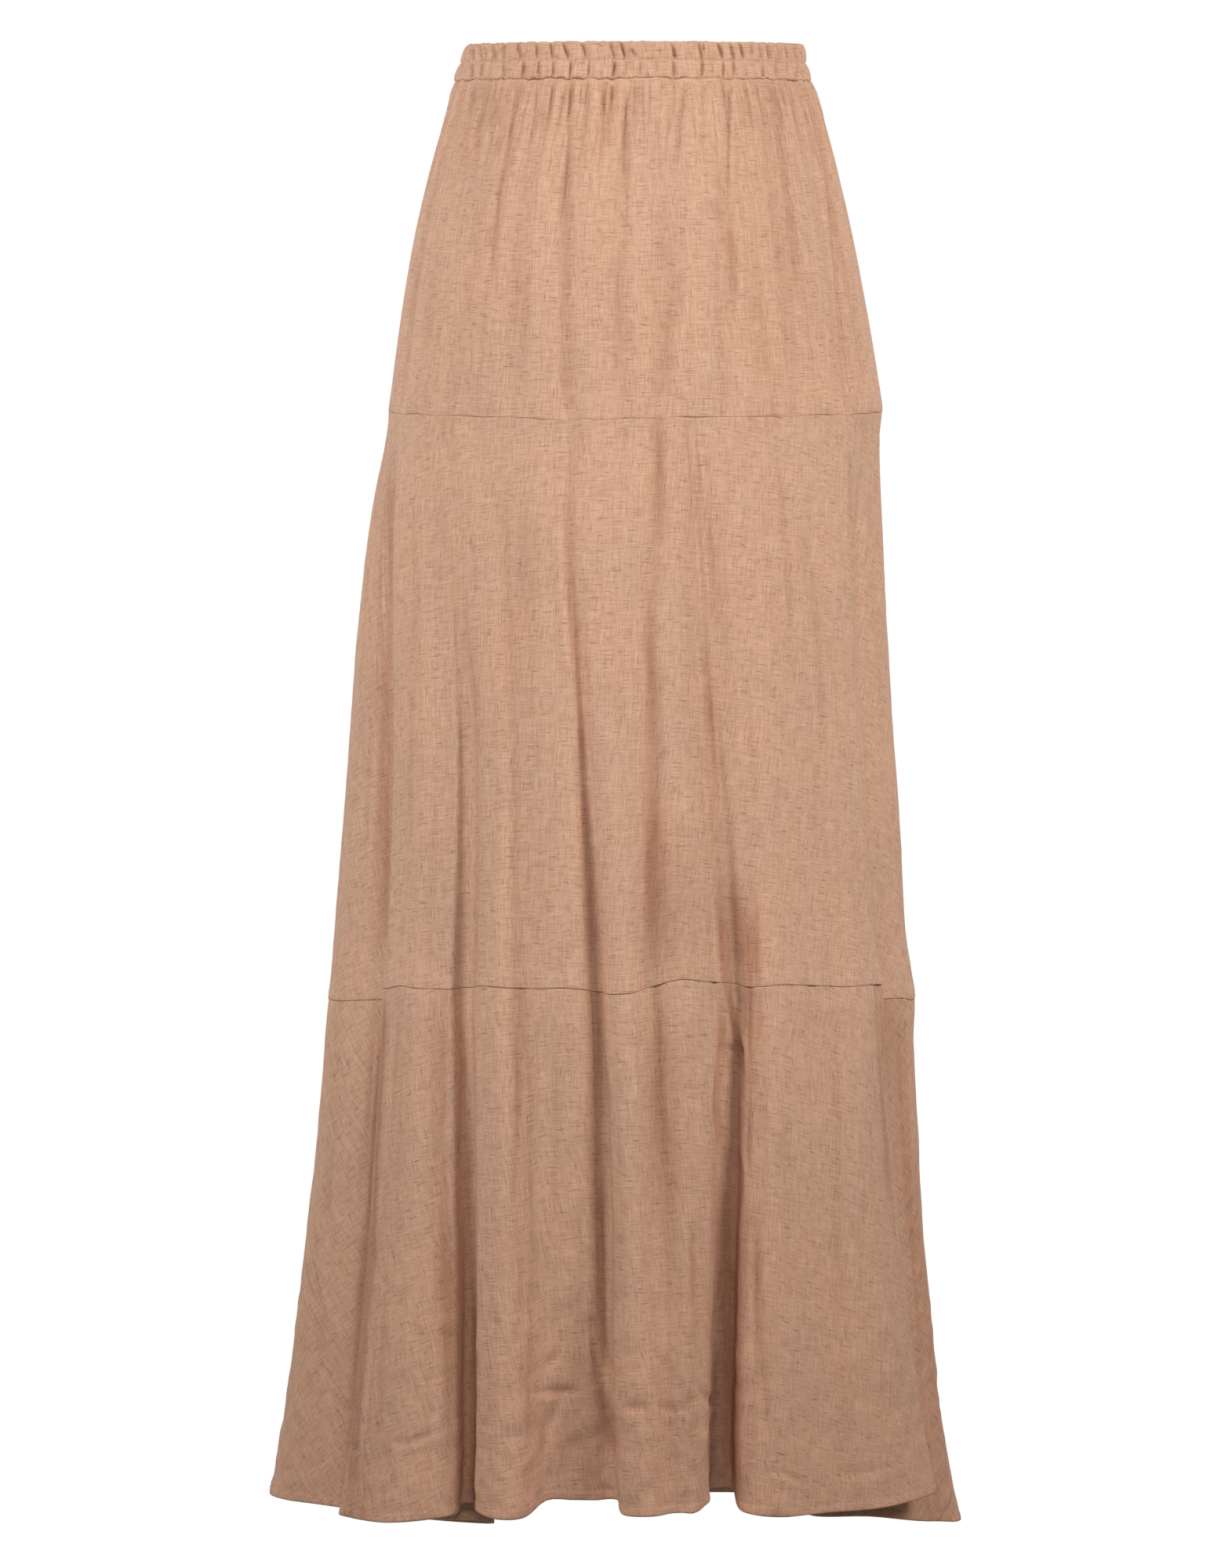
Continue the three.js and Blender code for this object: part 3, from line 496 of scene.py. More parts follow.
BACK_3 = (
    (1.0, 4.0, 4.0, (-150, -650), (-158, -760), (-168, -880)),
    (0.9, 3.0, 3.0, (-98, -650), (-100, -720), (-106, -800)),
    (1.1, 4.0, 5.0, (-52, -650), (-58, -760), (-60, -900)),
    (0.8, 3.0, 3.0, (-14, -652), (-12, -720), (-16, -800)),
    (1.1, 4.0, 5.0, (34, -650), (40, -780), (38, -900)),
    (0.9, 3.0, 3.0, (82, -650), (88, -740), (92, -820)),
    (1.0, 4.0, 4.0, (130, -648), (138, -760), (150, -880)),
    (0.9, 2.5, 3.0, (-130, -936), (-110, -944), (-86, -938)),
    (0.8, 2.5, 3.0, (-30, -930), (-10, -922), (14, -928)),
    (0.9, 2.5, 3.0, (60, -948), (84, -940), (100, -924)),
    (0.7, 2.5, 2.5, (-60, -968), (-44, -978), (-30, -990)),
    (0.7, 2.5, 2.5, (118, -960), (128, -974), (142, -984)),
)

# The folds in three layers at the left and right, by the number of the fold line: first and last line that
# lies hidden, and the places where the hidden part begins, is whole, ends and is past
HIDDEN_FOLDS = ((2, 7), (38, 42))
HIDDEN_COLUMNS = ((1.2, 2.4, 9.0, 10.0), (36.0, 36.8, 43.0, 44.0))


def ramp(value, start, span):
    """Straight rise from 0 at start to 1 a span further on."""
    return np.clip((value - start) / span, 0, 1)


def sine(turn):
    return np.sin(np.radians(turn))


def unit(vectors):
    return vectors / np.maximum(np.linalg.norm(vectors, axis=-1, keepdims=True), 1e-9)


def hermite(t, start, end, leave, arrive):
    """Cubic from start to end; leave and arrive are its slopes there, times the span."""
    t2, t3 = t * t, t * t * t
    start_part = (2 * t3 - 3 * t2 + 1) * start + (t3 - 2 * t2 + t) * leave
    return start_part + (3 * t2 - 2 * t3) * end + (t3 - t2) * arrive


def along(places, values, at):
    """Smooth curve through the rows of a table."""
    x, v = np.asarray(places, float), np.asarray(values, float)
    if x[0] > x[-1]:
        x, v = x[::-1], v[::-1]
    at = np.asarray(at, float)
    slope = np.empty_like(v)
    slope[1:-1] = (v[2:] - v[:-2]) / (x[2:] - x[:-2])
    slope[0] = (v[1] - v[0]) / (x[1] - x[0])
    slope[-1] = (v[-1] - v[-2]) / (x[-1] - x[-2])
    i = np.clip(np.searchsorted(x, at, side="right") - 1, 0, len(x) - 2)
    span = x[i + 1] - x[i]
    return hermite((at - x[i]) / span, v[i], v[i + 1], span * slope[i], span * slope[i + 1])


def half_sizes(z, left, front):
    """Half width and half depth of the plain section, on the left or right and on the front or back."""
    heights = SECTIONS[:, 0]
    width = np.where(left, along(heights, SECTIONS[:, 1], z), along(heights, SECTIONS[:, 2], z))
    depth = np.where(front, along(heights, SECTIONS[:, 3], z), along(heights, SECTIONS[:, 4], z))
    return width, depth


def place(z, turn, out):
    """Points at a height and a turn, moved out from the plain section."""
    c, s = np.cos(np.radians(turn)), sine(turn)
    width, depth = half_sizes(z, c > 0, s > 0)
    nx, ny = -c / width, -s / depth
    size = np.hypot(nx, ny)
    return np.stack([-width * c + out * nx / size, -depth * s + out * ny / size, z + 0 * size], axis=-1)


def turn_of(points):
    """Turn of points that lie near the plain section."""
    x, y, z = points[..., 0], points[..., 1], points[..., 2]
    width, depth = half_sizes(z, x < 0, y < 0)
    return np.degrees(np.arctan2(-y / depth, -x / width)) % 360


def turns(front, back):
    """Turns of the columns of a row, with so many on the front and so many on the back."""
    return np.concatenate([np.arange(front) * 180.0 / front, 180 + np.arange(back) * 180.0 / back])[None, :]


def waist_tilt(turn):
    s = sine(turn)
    return np.where(s > 0, -BAND_FRONT_DROP * s, -BAND_BACK_RISE * s)


def seam1_height(turn):
    s = sine(turn)
    return SEAM1_SIDE + np.where(s > 0, -SEAM1_FRONT_DROP * s, SEAM1_BACK_DROP * s)


def noise(u, v, seed):
    """Smooth uneven field between about -1 and 1, one cell a unit, the same each run."""
    table = np.random.RandomState(seed).uniform(-1, 1, (64, 64))
    iu, iv = np.floor(u).astype(int), np.floor(v).astype(int)
    fu, fv = u - iu, v - iv
    fu, fv = fu * fu * (3 - 2 * fu), fv * fv * (3 - 2 * fv)

    def row(b):
        return table[iu % 64, (iv + b) % 64] * (1 - fu) + table[(iu + 1) % 64, (iv + b) % 64] * fu

    return (row(0) * (1 - fv) + row(1) * fv) * 1.4


def wobble(u, lane, seed):
    """Noise that varies along u only."""
    return noise(u, 0 * u + lane, seed)


def ripples(u, v, layers):
    """Sum of noise fields: height, cell along u and v, shift along v, seed."""
    return sum(high * noise(u / wide, v / tall + shift, seed) for high, wide, tall, shift, seed in layers)


def crease_field(x, y, creases, fade, ridge=0.0):
    """Inward depth at points x, y for a table of creases, each dying away over fade at its ends."""
    total = np.zeros_like(x)
    for deep, left, right, *places in creases:
        p = np.asarray(places, float)
        reach = CREASE_REACH * max(left, right) + 1
        lo, hi = p.min(axis=0) - reach, p.max(axis=0) + reach
        near = np.nonzero((x > lo[0]) & (x < hi[0]) & (y > lo[1]) & (y < hi[1]))
        if not len(near[0]):
            continue
        px, py = x[near], y[near]
        best = np.full(px.shape, 1e9)
        side = np.zeros(px.shape)
        run = np.zeros(px.shape)
        done = 0.0
        for a, b in zip(p[:-1], p[1:]):
            d = b - a
            size = math.hypot(*d)
            t = np.clip(((px - a[0]) * d[0] + (py - a[1]) * d[1]) / size ** 2, 0, 1)
            gap = np.hypot(px - a[0] - t * d[0], py - a[1] - t * d[1])
            closer = gap < best
            flip = 1 if (d[1] if abs(d[1]) > abs(d[0]) else -d[0]) > 0 else -1
            best = np.where(closer, gap, best)
            side = np.where(closer, flip * ((px - a[0]) * d[1] - (py - a[1]) * d[0]) / size, side)
            run = np.where(closer, done + t * size, run)
            done += size
        wide = np.where(side < 0, left, right)
        away = np.where(side < 0, -best, best) / wide
        tail = ramp(np.minimum(run, done - run), 0, min(fade, 0.45 * done))
        tail = tail * tail * (3 - 2 * tail)
        valley = np.exp(-(best / wide) ** 2) - ridge * np.exp(-(away - RIDGE_PLACE) ** 2)
        total[near] += deep * valley * tail
    return total


def in_frame(points):
    """Column and row of the photographed frame for each point."""
    s = FOCAL / (points[..., 1] - EYE[1])
    return (FRAME_WIDTH / 2 + s * (points[..., 0] - EYE[0]),
            FRAME_HEIGHT / 2 - s * (points[..., 2] - EYE[2]))


def normals_of(grid):
    """Outward normals of a tube."""
    across = np.roll(grid, -1, axis=1) - np.roll(grid, 1, axis=1)
    return unit(np.cross(across, -np.gradient(grid, axis=0)))


def level_normals(grid):
    """Normals turned level, so that a shift along them keeps each point's height."""
    return unit(normals_of(grid) * np.array([1, 1, 0]))


def arc_round(grid):
    """Length round each row of a tube up to each column."""
    steps = np.linalg.norm(np.roll(grid, -1, axis=1) - grid, axis=-1)
    return np.concatenate([np.zeros((len(grid), 1)), np.cumsum(steps, axis=1)], axis=1)


# Small rise and fall of the seams, and their puckers, each shared by the two pieces that meet there
def waist_seam_rise(turn):
    return 0.5 * wobble(turn * 0.42, 3, 24) + 0.35 * wobble(turn * 0.95, 6, 25)


def seam1_rise(turn, px):
    rise = np.interp(px, SEAM1_RISE[:, 0], SEAM1_RISE[:, 1])
    return 0.3 * wobble(turn * 0.17, 4, 36) + SEAM1_RISE_SHARE * rise * (sine(turn) > 0)


def seam1_pucker(turn):
    return 0.35 * wobble(turn * 0.56, 1, 35)


def seam2_rise(length):
    return 0.7 * wobble(length / 19, 6, 45)


def seam2_pucker(length):
    return 0.35 * wobble(length / 5.4, 1, 44)


def band_grid():
    """Outer points of the waistband, and how far each lies out from its plain form."""
    h = np.linspace(-1, 1, BAND_ROWS)[:, None]
    turn = turns(BAND_FRONT, BAND_BACK)
    girth = turn * BAND_ARC
    channel = np.maximum(0, 1 - (2 * np.abs(h) - 1) ** 2)
    tuck = TOP_LEFT_TUCK * np.clip(-h, 0, 1) * np.clip(np.cos(np.radians(turn)), 0, 1) ** 2
    puff = BAND_EDGE + BAND_PUFF * channel ** 0.45 + 0.4 * ramp(h, 0.8, 0.2)
    base = place(-h * BAND_HEIGHT / 2 + 0 * turn, turn + 0 * h, puff - tuck)
    base[..., 2] += waist_tilt(turn)
    px, row = in_frame(base)
    front = ramp(sine(turn), 0.1, 0.25)
    wave = np.cos(np.radians(turn) * GATHERS + 1.6 * wobble(girth / 34, 3.5, 5))
    lean = girth + 3.0 * (h < 0) * h
    fine = 0.42 * noise(lean / 3.4, h * 0.8 + 9, 11) + 0.28 * noise(girth / 1.9, h * 0.9 + 4, 12)
    uneven = 0.7 + 0.6 * (wobble(girth / 60, 0, 3) > 0)
    upper, lower = (crease_field(px, row, grooves, GROOVE_FADE) for grooves in (GROOVES_TOP, GROOVES_LOW))
    fold = np.where(h < 0, upper, lower)
    out = GATHER_DEPTH * wave * (1 - 0.8 * front) + fine * uneven - GROOVE_DEPTH * fold * front
    out = out * (0.35 + 0.65 * channel)
    grid = base + level_normals(base) * out[..., None]
    ruffle = 0.25 * wobble(girth / 2.6, 7, 21) - 0.12 * fold[1] * front[0]
    grid[..., 2] += ramp(-h, 0.7, 0.3) * ruffle
    grid[..., 2] += (1 - ramp(np.abs(h), 0, 0.3)) * 0.28 * wobble(girth / 4.0, 2, 22)
    grid[..., 2] += ramp(h, 0.5, 0.5) * waist_seam_rise(turn)
    return grid, out


def tier1_grid():
    """Hip tier: points, normals, how far each lies out, painted shade, and length down from its upper edge.
    """
    f = np.concatenate([(0, 0.002, 0.005, 0.010), np.linspace(0.018, 0.984, 145), (0.990, 0.995, 0.998, 1)])
    f = f[:, None]
    turn = turns(TIER1_FRONT, TIER1_BACK)
    girth = turn * TIER1_ARC
    top = waist_tilt(turn) - BAND_HEIGHT / 2 - SEAM_GAP / 2
    low = seam1_height(turn) + SEAM_GAP / 2
    z = top + (low - top) * f
    down, up = top - z, z - low
    near_seam = ramp(up, 0, SEAM_FADE)
    hip = np.zeros_like(z)
    for start, end, deep in HIP_FOLDS:
        away = (turn - (start + (end - start) * f)) / HIP_FOLD_WIDTH
        hip -= deep * np.exp(-away * away) * (0.55 + 0.45 * f)
    begin = np.minimum(1, f / 0.035)
    plain = BAND_LOW_EDGE * (1 - begin) + LEDGE * ramp(f, 0.9, 0.07) ** 2 + hip * near_seam ** 0.5
    base = place(z - waist_tilt(turn) * np.exp(-(down / BAND_BLEND) ** 2), turn + 0 * f, plain)
    base[..., 2] = z
    px, row = in_frame(base)
    front, back = ramp(sine(turn), 0.05, 0.2), ramp(-sine(turn), 0.05, 0.2)
    wave = np.cos(np.radians(turn) * GATHERS + 1.9 * wobble(girth / 50, 3.5, 5))
    out = GATHER_DEPTH_TIER * wave * np.exp(-down / GATHER_FADE) * (0.2 + 0.8 * begin) * (0.8 - 0.42 * front)
    fold = crease_field(px, row, CREASES_1, HIP_FADE, RIDGE) * front * begin
    out = out - fold * (0.35 + 0.65 * near_seam)
    out = out - crease_field(base[..., 0], base[..., 2], BACK_1, HIP_BACK_FADE) * back * begin
    out = out + ripples(girth, down, HIP_GATHERS) * np.exp(-down / 60) * (0.3 + 0.7 * begin)
    sharp = np.abs(noise(girth / 4.8 + 0.012 * down, down / 90 + 2, 37))
    gather_lines = np.clip(GATHER_LINE - sharp, 0, 1) / GATHER_LINE * np.exp(-down / 75) * begin
    out = out - 1.5 * gather_lines + ripples(girth, down, HIP_WAVES) * near_seam
    out = out + seam1_pucker(turn) * np.exp(-up / 7)
    n = normals_of(base)
    grid = base + n * out[..., None]
    grid[..., 2] += seam1_rise(turn, px) * np.exp(-up / 14) + waist_seam_rise(turn) * np.exp(-down / 5)
    # Painted shade: darker in the creases, folds and gather lines, with soft streaks
    shade = 0.28 * ramp(-out, 0, 3.0) + 0.25 * ramp(fold, 0, 2.2) + 0.38 * gather_lines
    shade = shade + 0.14 * np.clip(ripples(girth, down, HIP_STREAKS), 0, 2)
    return grid, n, out, shade, (z[:1] - z).mean(axis=1)


STAGES = (0.0, 0.5, 1.0, 2.0)


def fold_points(stages):
    """Fold lines at each stage: 0 seam 1, 1 seam 2, 2 hem."""
    at_seam2 = FOLDS[:, 2]
    soft = (at_seam2 > SOFT_FRONT[0]) & (at_seam2 < SOFT_FRONT[1])
    share = np.select([at_seam2 > 180, soft], [MID_SHARE, MID_SHARE_FRONT], MID_SHARE_TUCK)
    rows = []
    for stage in stages:
        turn = np.array([along(STAGES, fold[:4], stage) for fold in FOLDS])
        out = np.array([along(STAGES, (0, fold[4] * part, fold[4], fold[5]), stage)
                        for fold, part in zip(FOLDS, share)])
        if stage <= 1:
            top, end, f = seam1_height(FOLDS[:, 0]) - SEAM_GAP / 2, FOLDS[:, 6] + SEAM_GAP / 2, stage
        else:
            top, end, f = FOLDS[:, 6] - SEAM_GAP / 2, FOLDS[:, 7], stage - 1
        rows.append(place(top + (end - top) * f, turn, out))
    return np.array(rows)


def column_steps():
    """How many columns lead from each fold line to the next: an even number, by their distance at the hem."""
    hem = fold_points([2.0])[0]
    chords = np.linalg.norm((np.roll(hem, -1, axis=0) - hem)[:, :2], axis=1)
    number = np.arange(len(FOLDS))
    hidden = sum((number >= first) & (number <= last) for first, last in HIDDEN_FOLDS) > 0
    pitch = np.where(hidden, PITCH_HIDDEN, np.where(number < RIGHT_SIDE, PITCH_FRONT, PITCH_BACK))
    return 2 * np.maximum(np.where(hidden, 2, 1), np.round(chords / pitch / 2)).astype(int)


STEPS = column_steps()
FOLD_SIDE = int(STEPS[:RIGHT_SIDE].sum())
FOLD_COLUMNS = int(STEPS.sum())
FOLD_NUMBER = np.repeat(np.arange(len(FOLDS)), STEPS) + np.concatenate([np.arange(n) / n for n in STEPS])


# 1 where a column shows, and 0 in layers folded behind others, which keep their plain form
SHOWN = (1 - sum(np.interp(FOLD_NUMBER, places, (0, 1, 1, 0)) for places in HIDDEN_COLUMNS))[None, :]
ON_BACK = (FOLD_NUMBER > RIGHT_SIDE)[None, :]


def round_curves(points):
    """Closed smooth curve through the fold lines, for every row at once."""
    ahead = np.roll(points, -1, axis=1)
    root = np.maximum(0.05, np.sqrt(np.linalg.norm(ahead - points, axis=-1)))[..., None]
    speed = (ahead - points) / root
    before, root0 = np.roll(speed, 1, axis=1), np.roll(root, 1, axis=1)
    tangent = (before * root + speed * root0) / (root0 + root)
    k = FOLD_NUMBER.astype(int)
    after = (k + 1) % len(FOLDS)
    t = (FOLD_NUMBER - k)[None, :, None]
    leave, arrive = root[:, k] * tangent[:, k], root[:, k] * tangent[:, after]
    return hermite(t, points[:, k], points[:, after], leave, arrive)


def folded_grid(stages, creases, back_creases, shades):
    """Tier 2 or 3 before its small waves: points, normals, length round at seam 2, creases and painted shade.
    """
    base = round_curves(fold_points(stages))
    length = arc_round(base)[:, :-1]
    length = np.broadcast_to(length[-1] if stages[-1] <= 1 else length[0], length.shape)
    n = normals_of(base)
    toward = -n[..., 1]
    px, row = in_frame(base)
    out = -crease_field(px, row, creases, FOLD_FADE, RIDGE) * ramp(toward, 0.05, 0.2) * SHOWN * ~ON_BACK
    behind = crease_field(base[..., 0], base[..., 2], back_creases, FOLD_BACK_FADE)
    out = out - behind * ramp(-toward, 0.05, 0.2) * ON_BACK
    # Painted shade: darker in deep folds, creases and the listed recesses, streaked along the folds
    sunk = np.array([along(STAGES, (0, -fold[4] * 0.5, -fold[4], -fold[5]), stages) for fold in FOLDS]).T
    k = FOLD_NUMBER.astype(int)
    t = FOLD_NUMBER - k
    sunk = sunk[:, k] * (1 - t) + sunk[:, (k + 1) % len(FOLDS)] * t
    shade = 0.16 * ramp(sunk, 5, 26) + 0.42 * ramp(-out, 0, 2.4)
    shade = shade + crease_field(px, row, shades, SHADE_FADE) * ramp(toward, -0.25, 0.3) * ~ON_BACK
    streaks = ripples(length, base[..., 2], STREAKS)
    shade = shade * (1 + 0.55 * streaks) + 0.06 * np.clip(streaks, 0, 1)
    return base, n, length, out, shade


SEAM_ROWS = np.array([0, 0.0005, 0.0015, 0.003, 0.006])


def tier2_grid():
    """Middle tier: points, normals, how far each lies out, painted shade, and length down from its upper
    edge.
    """
    stages = np.concatenate([SEAM_ROWS, np.linspace(0.011, 0.989, 159), 1 - SEAM_ROWS[::-1]])
    base, n, length, out, shade = folded_grid(stages, CREASES_2, BACK_2, SHADES_2)
    px, turn = in_frame(base[:1])[0], turn_of(base[:1])
    f = stages[:, None]
    down = f * TIER2_DROP
    up = TIER2_DROP - down
    apart = ramp(np.minimum(down, up), 0, SEAM_FADE)
    out = out + LEDGE * ramp(f, 0.95, 0.035) ** 2
    out = out * (0.35 + 0.65 * ramp(down, 0, SEAM_FADE))
    out = out + ripples(length, down, WAVES_2) * (0.3 + 0.7 * SHOWN) * apart
    out = out + ripples(length, down, RIPPLES_2) * SHOWN * apart
    out = out + seam1_pucker(turn) * np.exp(-down / 9) + seam2_pucker(length) * np.exp(-up / 9)
    grid = base + n * out[..., None]
    grid[..., 2] += seam1_rise(turn, px) * np.exp(-down / 14) + seam2_rise(length) * np.exp(-up / 12)
    return grid, n, out, shade, down[:, 0]


def tier3_grid():
    """Lowest tier with its hem, returned like tier 2."""
    shares = np.concatenate([SEAM_ROWS, np.linspace(0.011, 0.969, 147), 1 - np.array(HEM_SHARES)])
    stages = 1.00001 + 0.99999 * shares
    base, n, length, out, shade = folded_grid(stages, CREASES_3, BACK_3, SHADES_3)
    f = stages[:, None] - 1
    down = f * TIER3_DROP
    up = TIER3_DROP - down
    # Painted shade that grows towards the hem, standing in for the light falling off lower down
    shade = shade + 0.43 * f * np.clip(1 - shade, 0, 1)
    apart = ramp(down, 0, SEAM_FADE)
    out = out + ripples(length, down, WAVES_3) * (0.3 + 0.7 * SHOWN) * apart
    small = noise(length / 8, down / 9, 53) + 0.6 * noise(length / 15 + down / 22, down / 16, 54)
    out = out + (0.2 + 0.35 * ramp(f, 0.5, 0.4)) * small * SHOWN * apart
    out = out + seam2_pucker(length) * np.exp(-down / 9)
    groove = np.exp(-((up - HEM_DEPTH) / 0.8) ** 2)
    swell = ramp(HEM_DEPTH + 0.4 - up, 0, 1.2) * np.clip(up / 0.8 + 0.2, 0, 1)
    out = out + HEM_RELIEF * (swell - groove + wobble(length / 7, 2, 56) * np.exp(-up / 8))
    grid = base + n * out[..., None]
    grid[..., 2] += seam2_rise(length) * np.exp(-down / 12)
    grid[..., 2] += 0.5 * wobble(length / 21, 8, 57) * np.exp(-up / 12)
    return grid, n, out, shade, down[:, 0]


class Nodes:
    """Short forms for the nodes of a material or a world."""

    def __init__(self, owner):
        owner.use_nodes = True
        self.owner = owner
        self.tree = owner.node_tree
        self.tree.nodes.clear()

    def add(self, kind, inputs=None, **settings):
        """A node with its settings and inputs; an input that is a socket is linked."""
        node = self.tree.nodes.new(kind)
        for key, value in settings.items():
            setattr(node, key, value)
        for key, value in (inputs or {}).items():
            if isinstance(value, bpy.types.NodeSocket):
                self.tree.links.new(value, node.inputs[key])
            else:
                node.inputs[key].default_value = value
        return node

    def math(self, how, *values):
        return self.add("ShaderNodeMath", dict(enumerate(values)), operation=how).outputs[0]

    def weigh(self, a, share_a, b, share_b):
        return self.math("ADD", self.math("MULTIPLY", a, share_a), self.math("MULTIPLY", b, share_b))

    def noise(self, vector, scale, detail=2.0, rough=0.5, shift=(0, 0, 0)):
        placed = self.add("ShaderNodeMapping", {"Vector": vector, "Location": shift, "Scale": scale})
        values = {"Vector": placed.outputs[0], "Scale": 1.0, "Detail": detail, "Roughness": rough}
        return self.add("ShaderNodeTexNoise", values, noise_dimensions="2D").outputs[0]

    def ramp(self, value, low, high):
        values = {"Value": value, "From Min": low, "From Max": high}
        return self.add("ShaderNodeMapRange", values, interpolation_type="SMOOTHSTEP").outputs[0]

    def mix(self, share, a, b, how="MIX"):
        a, b = ((*value, 1.0) if isinstance(value, tuple) else value for value in (a, b))
        return self.add("ShaderNodeMix", {0: share, 6: a, 7: b}, data_type="RGBA", blend_type=how).outputs[2]

    def bump(self, height, strength, distance, normal=None):
        values = {"Strength": strength, "Distance": distance, "Height": height}
        if normal:
            values["Normal"] = normal
        return self.add("ShaderNodeBump", values).outputs[0]

    def surface(self, values):
        """Finished material with one principled shader."""
        shader = self.add("ShaderNodeBsdfPrincipled", values)
        self.add("ShaderNodeOutputMaterial", {0: shader.outputs[0]})
        return self.owner

    def white_to_camera(self, lit, white, output):
        """White where the camera sees it, and the lit shader for the light it gives."""
        camera_ray = self.add("ShaderNodeLightPath").outputs["Is Camera Ray"]
        seen = self.add(white, {"Color": (1, 1, 1, 1), "Strength": 1.0})
        both = self.add("ShaderNodeMixShader", {0: camera_ray, 1: lit.outputs[0], 2: seen.outputs[0]})
        self.add(output, {0: both.outputs[0]})


def linen(name):
    """Loose plain weave with slubs, run along the cut of each panel, with painted shade: darker and warmer
    where the shade attribute says.
    """
    n = Nodes(bpy.data.materials.new(name))
    uv = n.add("ShaderNodeUVMap", uv_map="cut").outputs[0]
    warp = n.noise(uv, (1750, 60, 1), 2, 0.7)
    weft = n.noise(uv, (75, 1700, 1), 2, 0.7, (7, 3, 0))
    slub_warp = n.noise(uv, (640, 24, 1), 2, 0.5, (31, 5, 0))
    slub_weft = n.noise(uv, (26, 560, 1), 2, 0.5, (3, 41, 0))
    cloud = n.noise(uv, (16, 12, 1), 3, 0.55, (9, 2, 0))
    band = n.noise(uv, (120, 9, 1), 2, 0.5, (2, 6, 0))
    dash_warp = n.ramp(n.noise(uv, (1100, 110, 1), 1, 0.5, (5, 71, 0)), 0.70, 0.78)
    dash_weft = n.ramp(n.noise(uv, (95, 1150, 1), 1, 0.5, (63, 2, 0)), 0.665, 0.75)
    dashes = n.math("MAXIMUM", dash_warp, dash_weft)

    threads = n.weigh(warp, 0.55, weft, 0.45)
    slubs = n.weigh(slub_warp, 0.5, slub_weft, 0.5)
    colour = n.mix(n.ramp(n.weigh(threads, 0.8, slubs, 0.2), 0.37, 0.63), CLOTH_DARK, CLOTH_LIGHT)
    warm = n.ramp(n.weigh(cloud, 0.65, band, 0.35), 0.38, 0.62)
    tint = n.mix(warm, (0.975, 0.98, 0.99), (1.02, 1.01, 1.0))
    colour = n.mix(1.0, colour, tint, "MULTIPLY")
    colour = n.mix(n.math("MULTIPLY", dashes, 0.6), colour, SLUB_DARK)
    # Painted shade: the shade attribute darkens and warms the colour in creases, folds, recesses and towards
    # the hem
    shade = n.add("ShaderNodeAttribute", attribute_name="shade").outputs["Fac"]
    colour = n.mix(shade, colour, PAINTED_SHADE_TINT, "MULTIPLY")

    ridges = n.math("ABSOLUTE", n.math("SUBTRACT", n.noise(uv, (95, 17, 1), 1, 0.5, (4, 8, 0)), 0.5))
    patches = n.ramp(n.noise(uv, (22, 14, 1), 1, 0.5, (6, 1, 0)), 0.42, 0.68)
    worn = n.math("MULTIPLY", patches, n.add("ShaderNodeAttribute", attribute_name="crumple").outputs["Fac"])
    rumpled = n.bump(n.math("MULTIPLY", n.ramp(ridges, 0.0, 0.2), worn), 1.0, 0.0008)
    height = n.math("ADD", n.weigh(threads, 0.75, slubs, 0.45), n.math("MULTIPLY", dashes, 0.12))
    return n.surface({"Base Color": colour, "Normal": n.bump(height, 0.5, 0.0005, rumpled), "Roughness": 0.9,
                      "Specular IOR Level": 0.15, "Sheen Weight": 0.05, "Sheen Roughness": 0.6})


def thread(name):
    n = Nodes(bpy.data.materials.new(name))
    tone = n.noise(n.add("ShaderNodeTexCoord").outputs["Object"], (900, 900, 1))
    colour = n.mix(n.ramp(tone, 0.3, 0.7), THREAD_DARK, THREAD_LIGHT)
    return n.surface({"Base Color": colour, "Roughness": 0.8, "Specular IOR Level": 0.25})


LINEN = linen("linen_weave_painted_shade")
THREAD = thread("sewing_thread")


def add_piece(name, mesh, material):
    """Object of the skirt that rides on its one body."""
    mesh.materials.append(material)
    piece = bpy.data.objects.new(name, mesh)
    bpy.context.scene.collection.objects.link(piece)
    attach(piece, "root")
    return piece


def end_curl(count, depth, shares=CURL_SHARES):
    """How far each row or column curls in, the outermost ones most."""
    curl = np.zeros(count)
    curl[:len(shares)] = depth * np.array(shares)
    curl[-len(shares):] = curl[:len(shares)][::-1]
    return curl


def lowest(out):
    """Lowest value of a field within two cells."""
    low = out.copy()
    for shift in (1, 2):
        low = np.minimum(low, np.minimum(np.roll(out, shift, axis=1), np.roll(out, -shift, axis=1)))
    rows = np.pad(low, ((2, 2), (0, 0)), mode="edge")
    return np.minimum.reduce([rows[i:i + len(low)] for i in range(5)])


# The inner side of a wall has every second row and column of the outer side
STEP = 2


